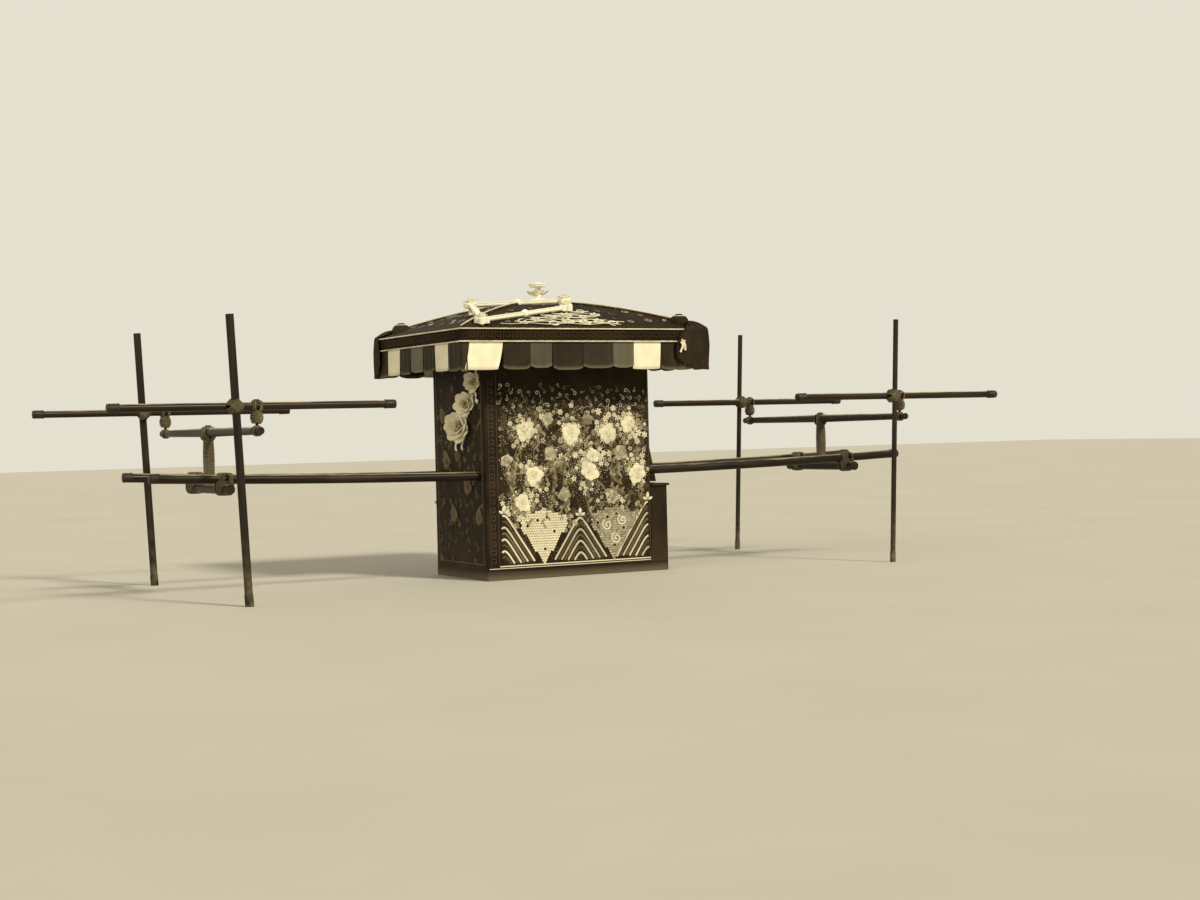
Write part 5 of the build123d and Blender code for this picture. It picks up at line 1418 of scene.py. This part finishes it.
def pole_fittings():
    """Metal sleeves on the ends of the main and shoulder poles."""
    work = Patchwork()
    length = 0.052
    for end, side in SIGNS:
        place = (end * (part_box("main_pole_right")[1].x - length), side * MAIN_POLE_Y,
                 pole_end_height("main_pole_right", end))
        sleeve(work, place, end * AHEAD, radius=0.0252, length=length)
    work.finish("main_pole_sleeves", "dark_iron")
    length = 0.060
    for (_, where), (side, hand) in product(ENDS, SIDES):
        low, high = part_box(f"shoulder_pole_{where}_{hand}")
        work = Patchwork()
        for x, axis in ((high.x - length, AHEAD), (low.x + length, BACK)):
            sleeve(work, (x, side * END_PIN_Y, SHOULDER_Z), axis, radius=0.0222, length=length)
        work.finish(f"shoulder_sleeves_{where}_{hand}", "dark_iron", body=f"shoulder_{where}_{hand}")


def pole_end_height(node, end, axis=0):
    """Middle height of a pole at one of its ends along an axis, from its CAD mesh."""
    points = np.array([v.co for v in frame["nodes"][node].data.vertices])
    tip = points[points[:, axis] * end > (points[:, axis] * end).max() - 0.004]
    return float((tip[:, 2].min() + tip[:, 2].max()) / 2.0)


CURTAIN_TOP, CURTAIN_FOOT = 1.300, 0.522
CURTAIN_BEND = 0.95            # below this the curtain leans forward, out over the shelf
CURTAIN_FLAT = (0.60, 0.80)
CURTAIN_WIDE, CURTAIN_FLARE = 0.445, 0.025    # its width as it hangs, and how much wider it is at its foot
CURTAIN_FOLDS, FOLD_DEPTH = 8.0, 0.0140
ROD_LENGTH, ROD_Z = 0.464, 1.296


def front_curtain():
    """Ivory silk hung in folds from its rod over the doorway, its foot lying forward on the apron's shelf."""
    def place(v, u):
        z = CURTAIN_TOP - (CURTAIN_TOP - CURTAIN_FOOT) * v
        lean = max(0.0, (CURTAIN_BEND - z) / (CURTAIN_BEND - CURTAIN_FOOT))
        fold = math.sin(CURTAIN_FOLDS * FULL * u + 0.7 * v + 0.9 * math.sin(5.0 * u))
        depth = FOLD_DEPTH * (0.55 + 0.45 * math.sin(3.0 * v + 2.0 * u)) * fold * (0.35 + 0.65 * min(1.0, v * 4.0))
        y = (u - 0.5) * (CURTAIN_WIDE + CURTAIN_FLARE * v) + 0.002 * math.sin(14.0 * v + 20.0 * u)
        return (CURTAIN_ROD_X + 0.0895 * lean + 0.001 + depth, y, z), np.multiply((u, 1.0 - v), CURTAIN_FLAT)

    cloth = Patchwork().sheet(46, 121, place, 0.5).finish("curtain_silk", "pale_curtain", body="curtain")
    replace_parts(cloth, "front_curtain")
    rod = Patchwork()
    sleeve(rod, (CURTAIN_ROD_X, -ROD_LENGTH / 2.0, ROD_Z), LEFT, radius=0.0068, length=ROD_LENGTH, rings=0)
    rod = rod.finish("curtain_rod", "lacquered_pole", body="curtain")
    ring = circle(25) * (0.0105, 0.0125) + (CURTAIN_ROD_X, 1.293)
    places = [y for y in np.linspace(-0.205, 0.205, 9) if abs(abs(y) - 0.190) > 0.016]    # clear of the two eyes
    rings = TREES["rope"].grow(make_curves([set_off(ring, 1, y) for y in places]), "curtain_rings", "dark_iron",
                               body="curtain", Radius=0.0016, Lay=0.012)


def corner_ribbon():
    """A knot of pale yellow ribbon hanging by the near front corner."""
    x, z = 0.605, 1.336
    work = Patchwork()
    for dx, drop, lean in ((-0.010, 0.062, -0.10), (0.010, 0.050, 0.16), (0.0, 0.040, 0.0)):
        path = arc((x + dx * 0.3, z), (x + dx + lean * drop, z - drop), 0.08, 9)
        lift = 0.004 + 0.003 * np.sin(np.linspace(0.0, 5.0, len(path)))
        work.ribbon(set_off(path, 1, -EAVE_Y - 0.030 - lift), width=0.013, rise=0.0016, facing=RIGHT, tone=0.9)
    work.petals(np.array([x, -EAVE_Y - 0.034, z - 0.002]), 0.018, 4, 0.4, RIGHT, AHEAD, 0.9, width=0.8, rise=0.25,
                cup=0.1)
    work.finish("corner_ribbon", "ivory_thread", "white_silk")


def make_stage():
    """Pale floor, even light, and a pale room behind that only the camera and reflections see."""
    half, below = 45.0, -0.0006
    floor = make_mesh("floor", [(-half, -half, below), (half, -half, below), (half, half, below),
                                (-half, half, below)], [(0, 1, 2, 3)])
    paint = Paint("floor_chalk", roughness=0.9, specular=0.1)
    paint.set({"Base Color": paint.clouded(0.8, (0.56, 0.53, 0.44), (0.60, 0.565, 0.47), 0.3, detail=3.0)})
    floor.data.materials.append(paint.material)
    world = bpy.data.worlds.new("pale_room")
    bpy.context.scene.world = world
    world.use_nodes = True
    room = Nodes()
    room.tree = world.node_tree
    room.tree.nodes.clear()
    rays = room.add("ShaderNodeLightPath").node.outputs
    shown = room.math("MAXIMUM", rays["Is Camera Ray"], rays["Is Glossy Ray"])
    shown = room.math("MAXIMUM", shown, rays["Is Transmission Ray"])
    felt = room.add("ShaderNodeBackground", {0: (1.0, 0.92, 0.76, 1.0), 1: 0.33})
    seen = room.add("ShaderNodeBackground", {0: (0.78, 0.745, 0.63, 1.0), 1: 1.0})
    room.add("ShaderNodeOutputWorld", {0: room.add("ShaderNodeMixShader", {0: shown, 1: felt, 2: seen})})
    make_lamp("sun", (2.4, -7.0, 6.0), (0.0, 0.0, 0.6), 9.0, 2.9, (1.0, 0.94, 0.80))
    make_lamp("fill", (-7.5, -3.0, 3.4), (-0.5, 0.0, 0.9), 50.0, 1.15, (1.0, 0.95, 0.86))
    make_lamp("rim", (3.0, 6.5, 4.5), (0.0, 0.0, 1.2), 60.0, 0.45, (1.0, 0.96, 0.88))
    bpy.context.scene.view_settings.view_transform = "Standard"


for part in frame["record"]["subparts"]:
    node = frame["nodes"][part["node"]]
    node.data.materials.clear()
    node.data.materials.append(PAINTS[part["material_slot"]])
make_motifs()
make_camera()
make_stage()
for hand, turned in (("right", False), ("left", True)):
    side_embroidery(hand, turned)
for dress in (rear_embroidery, apron_embroidery, valances, eave_cords, fascia_pattern, roof_embroidery, crown_detail,
              garland, corner_knots, corner_drapes, corner_ribbon, yoke_ropes, crossbar_ropes, shoulder_ropes,
              pole_fittings, front_curtain):
    dress()

for helper in HELPERS:
    bpy.data.objects.remove(helper)
for group in GROUPS.values():
    bpy.data.collections.remove(group)
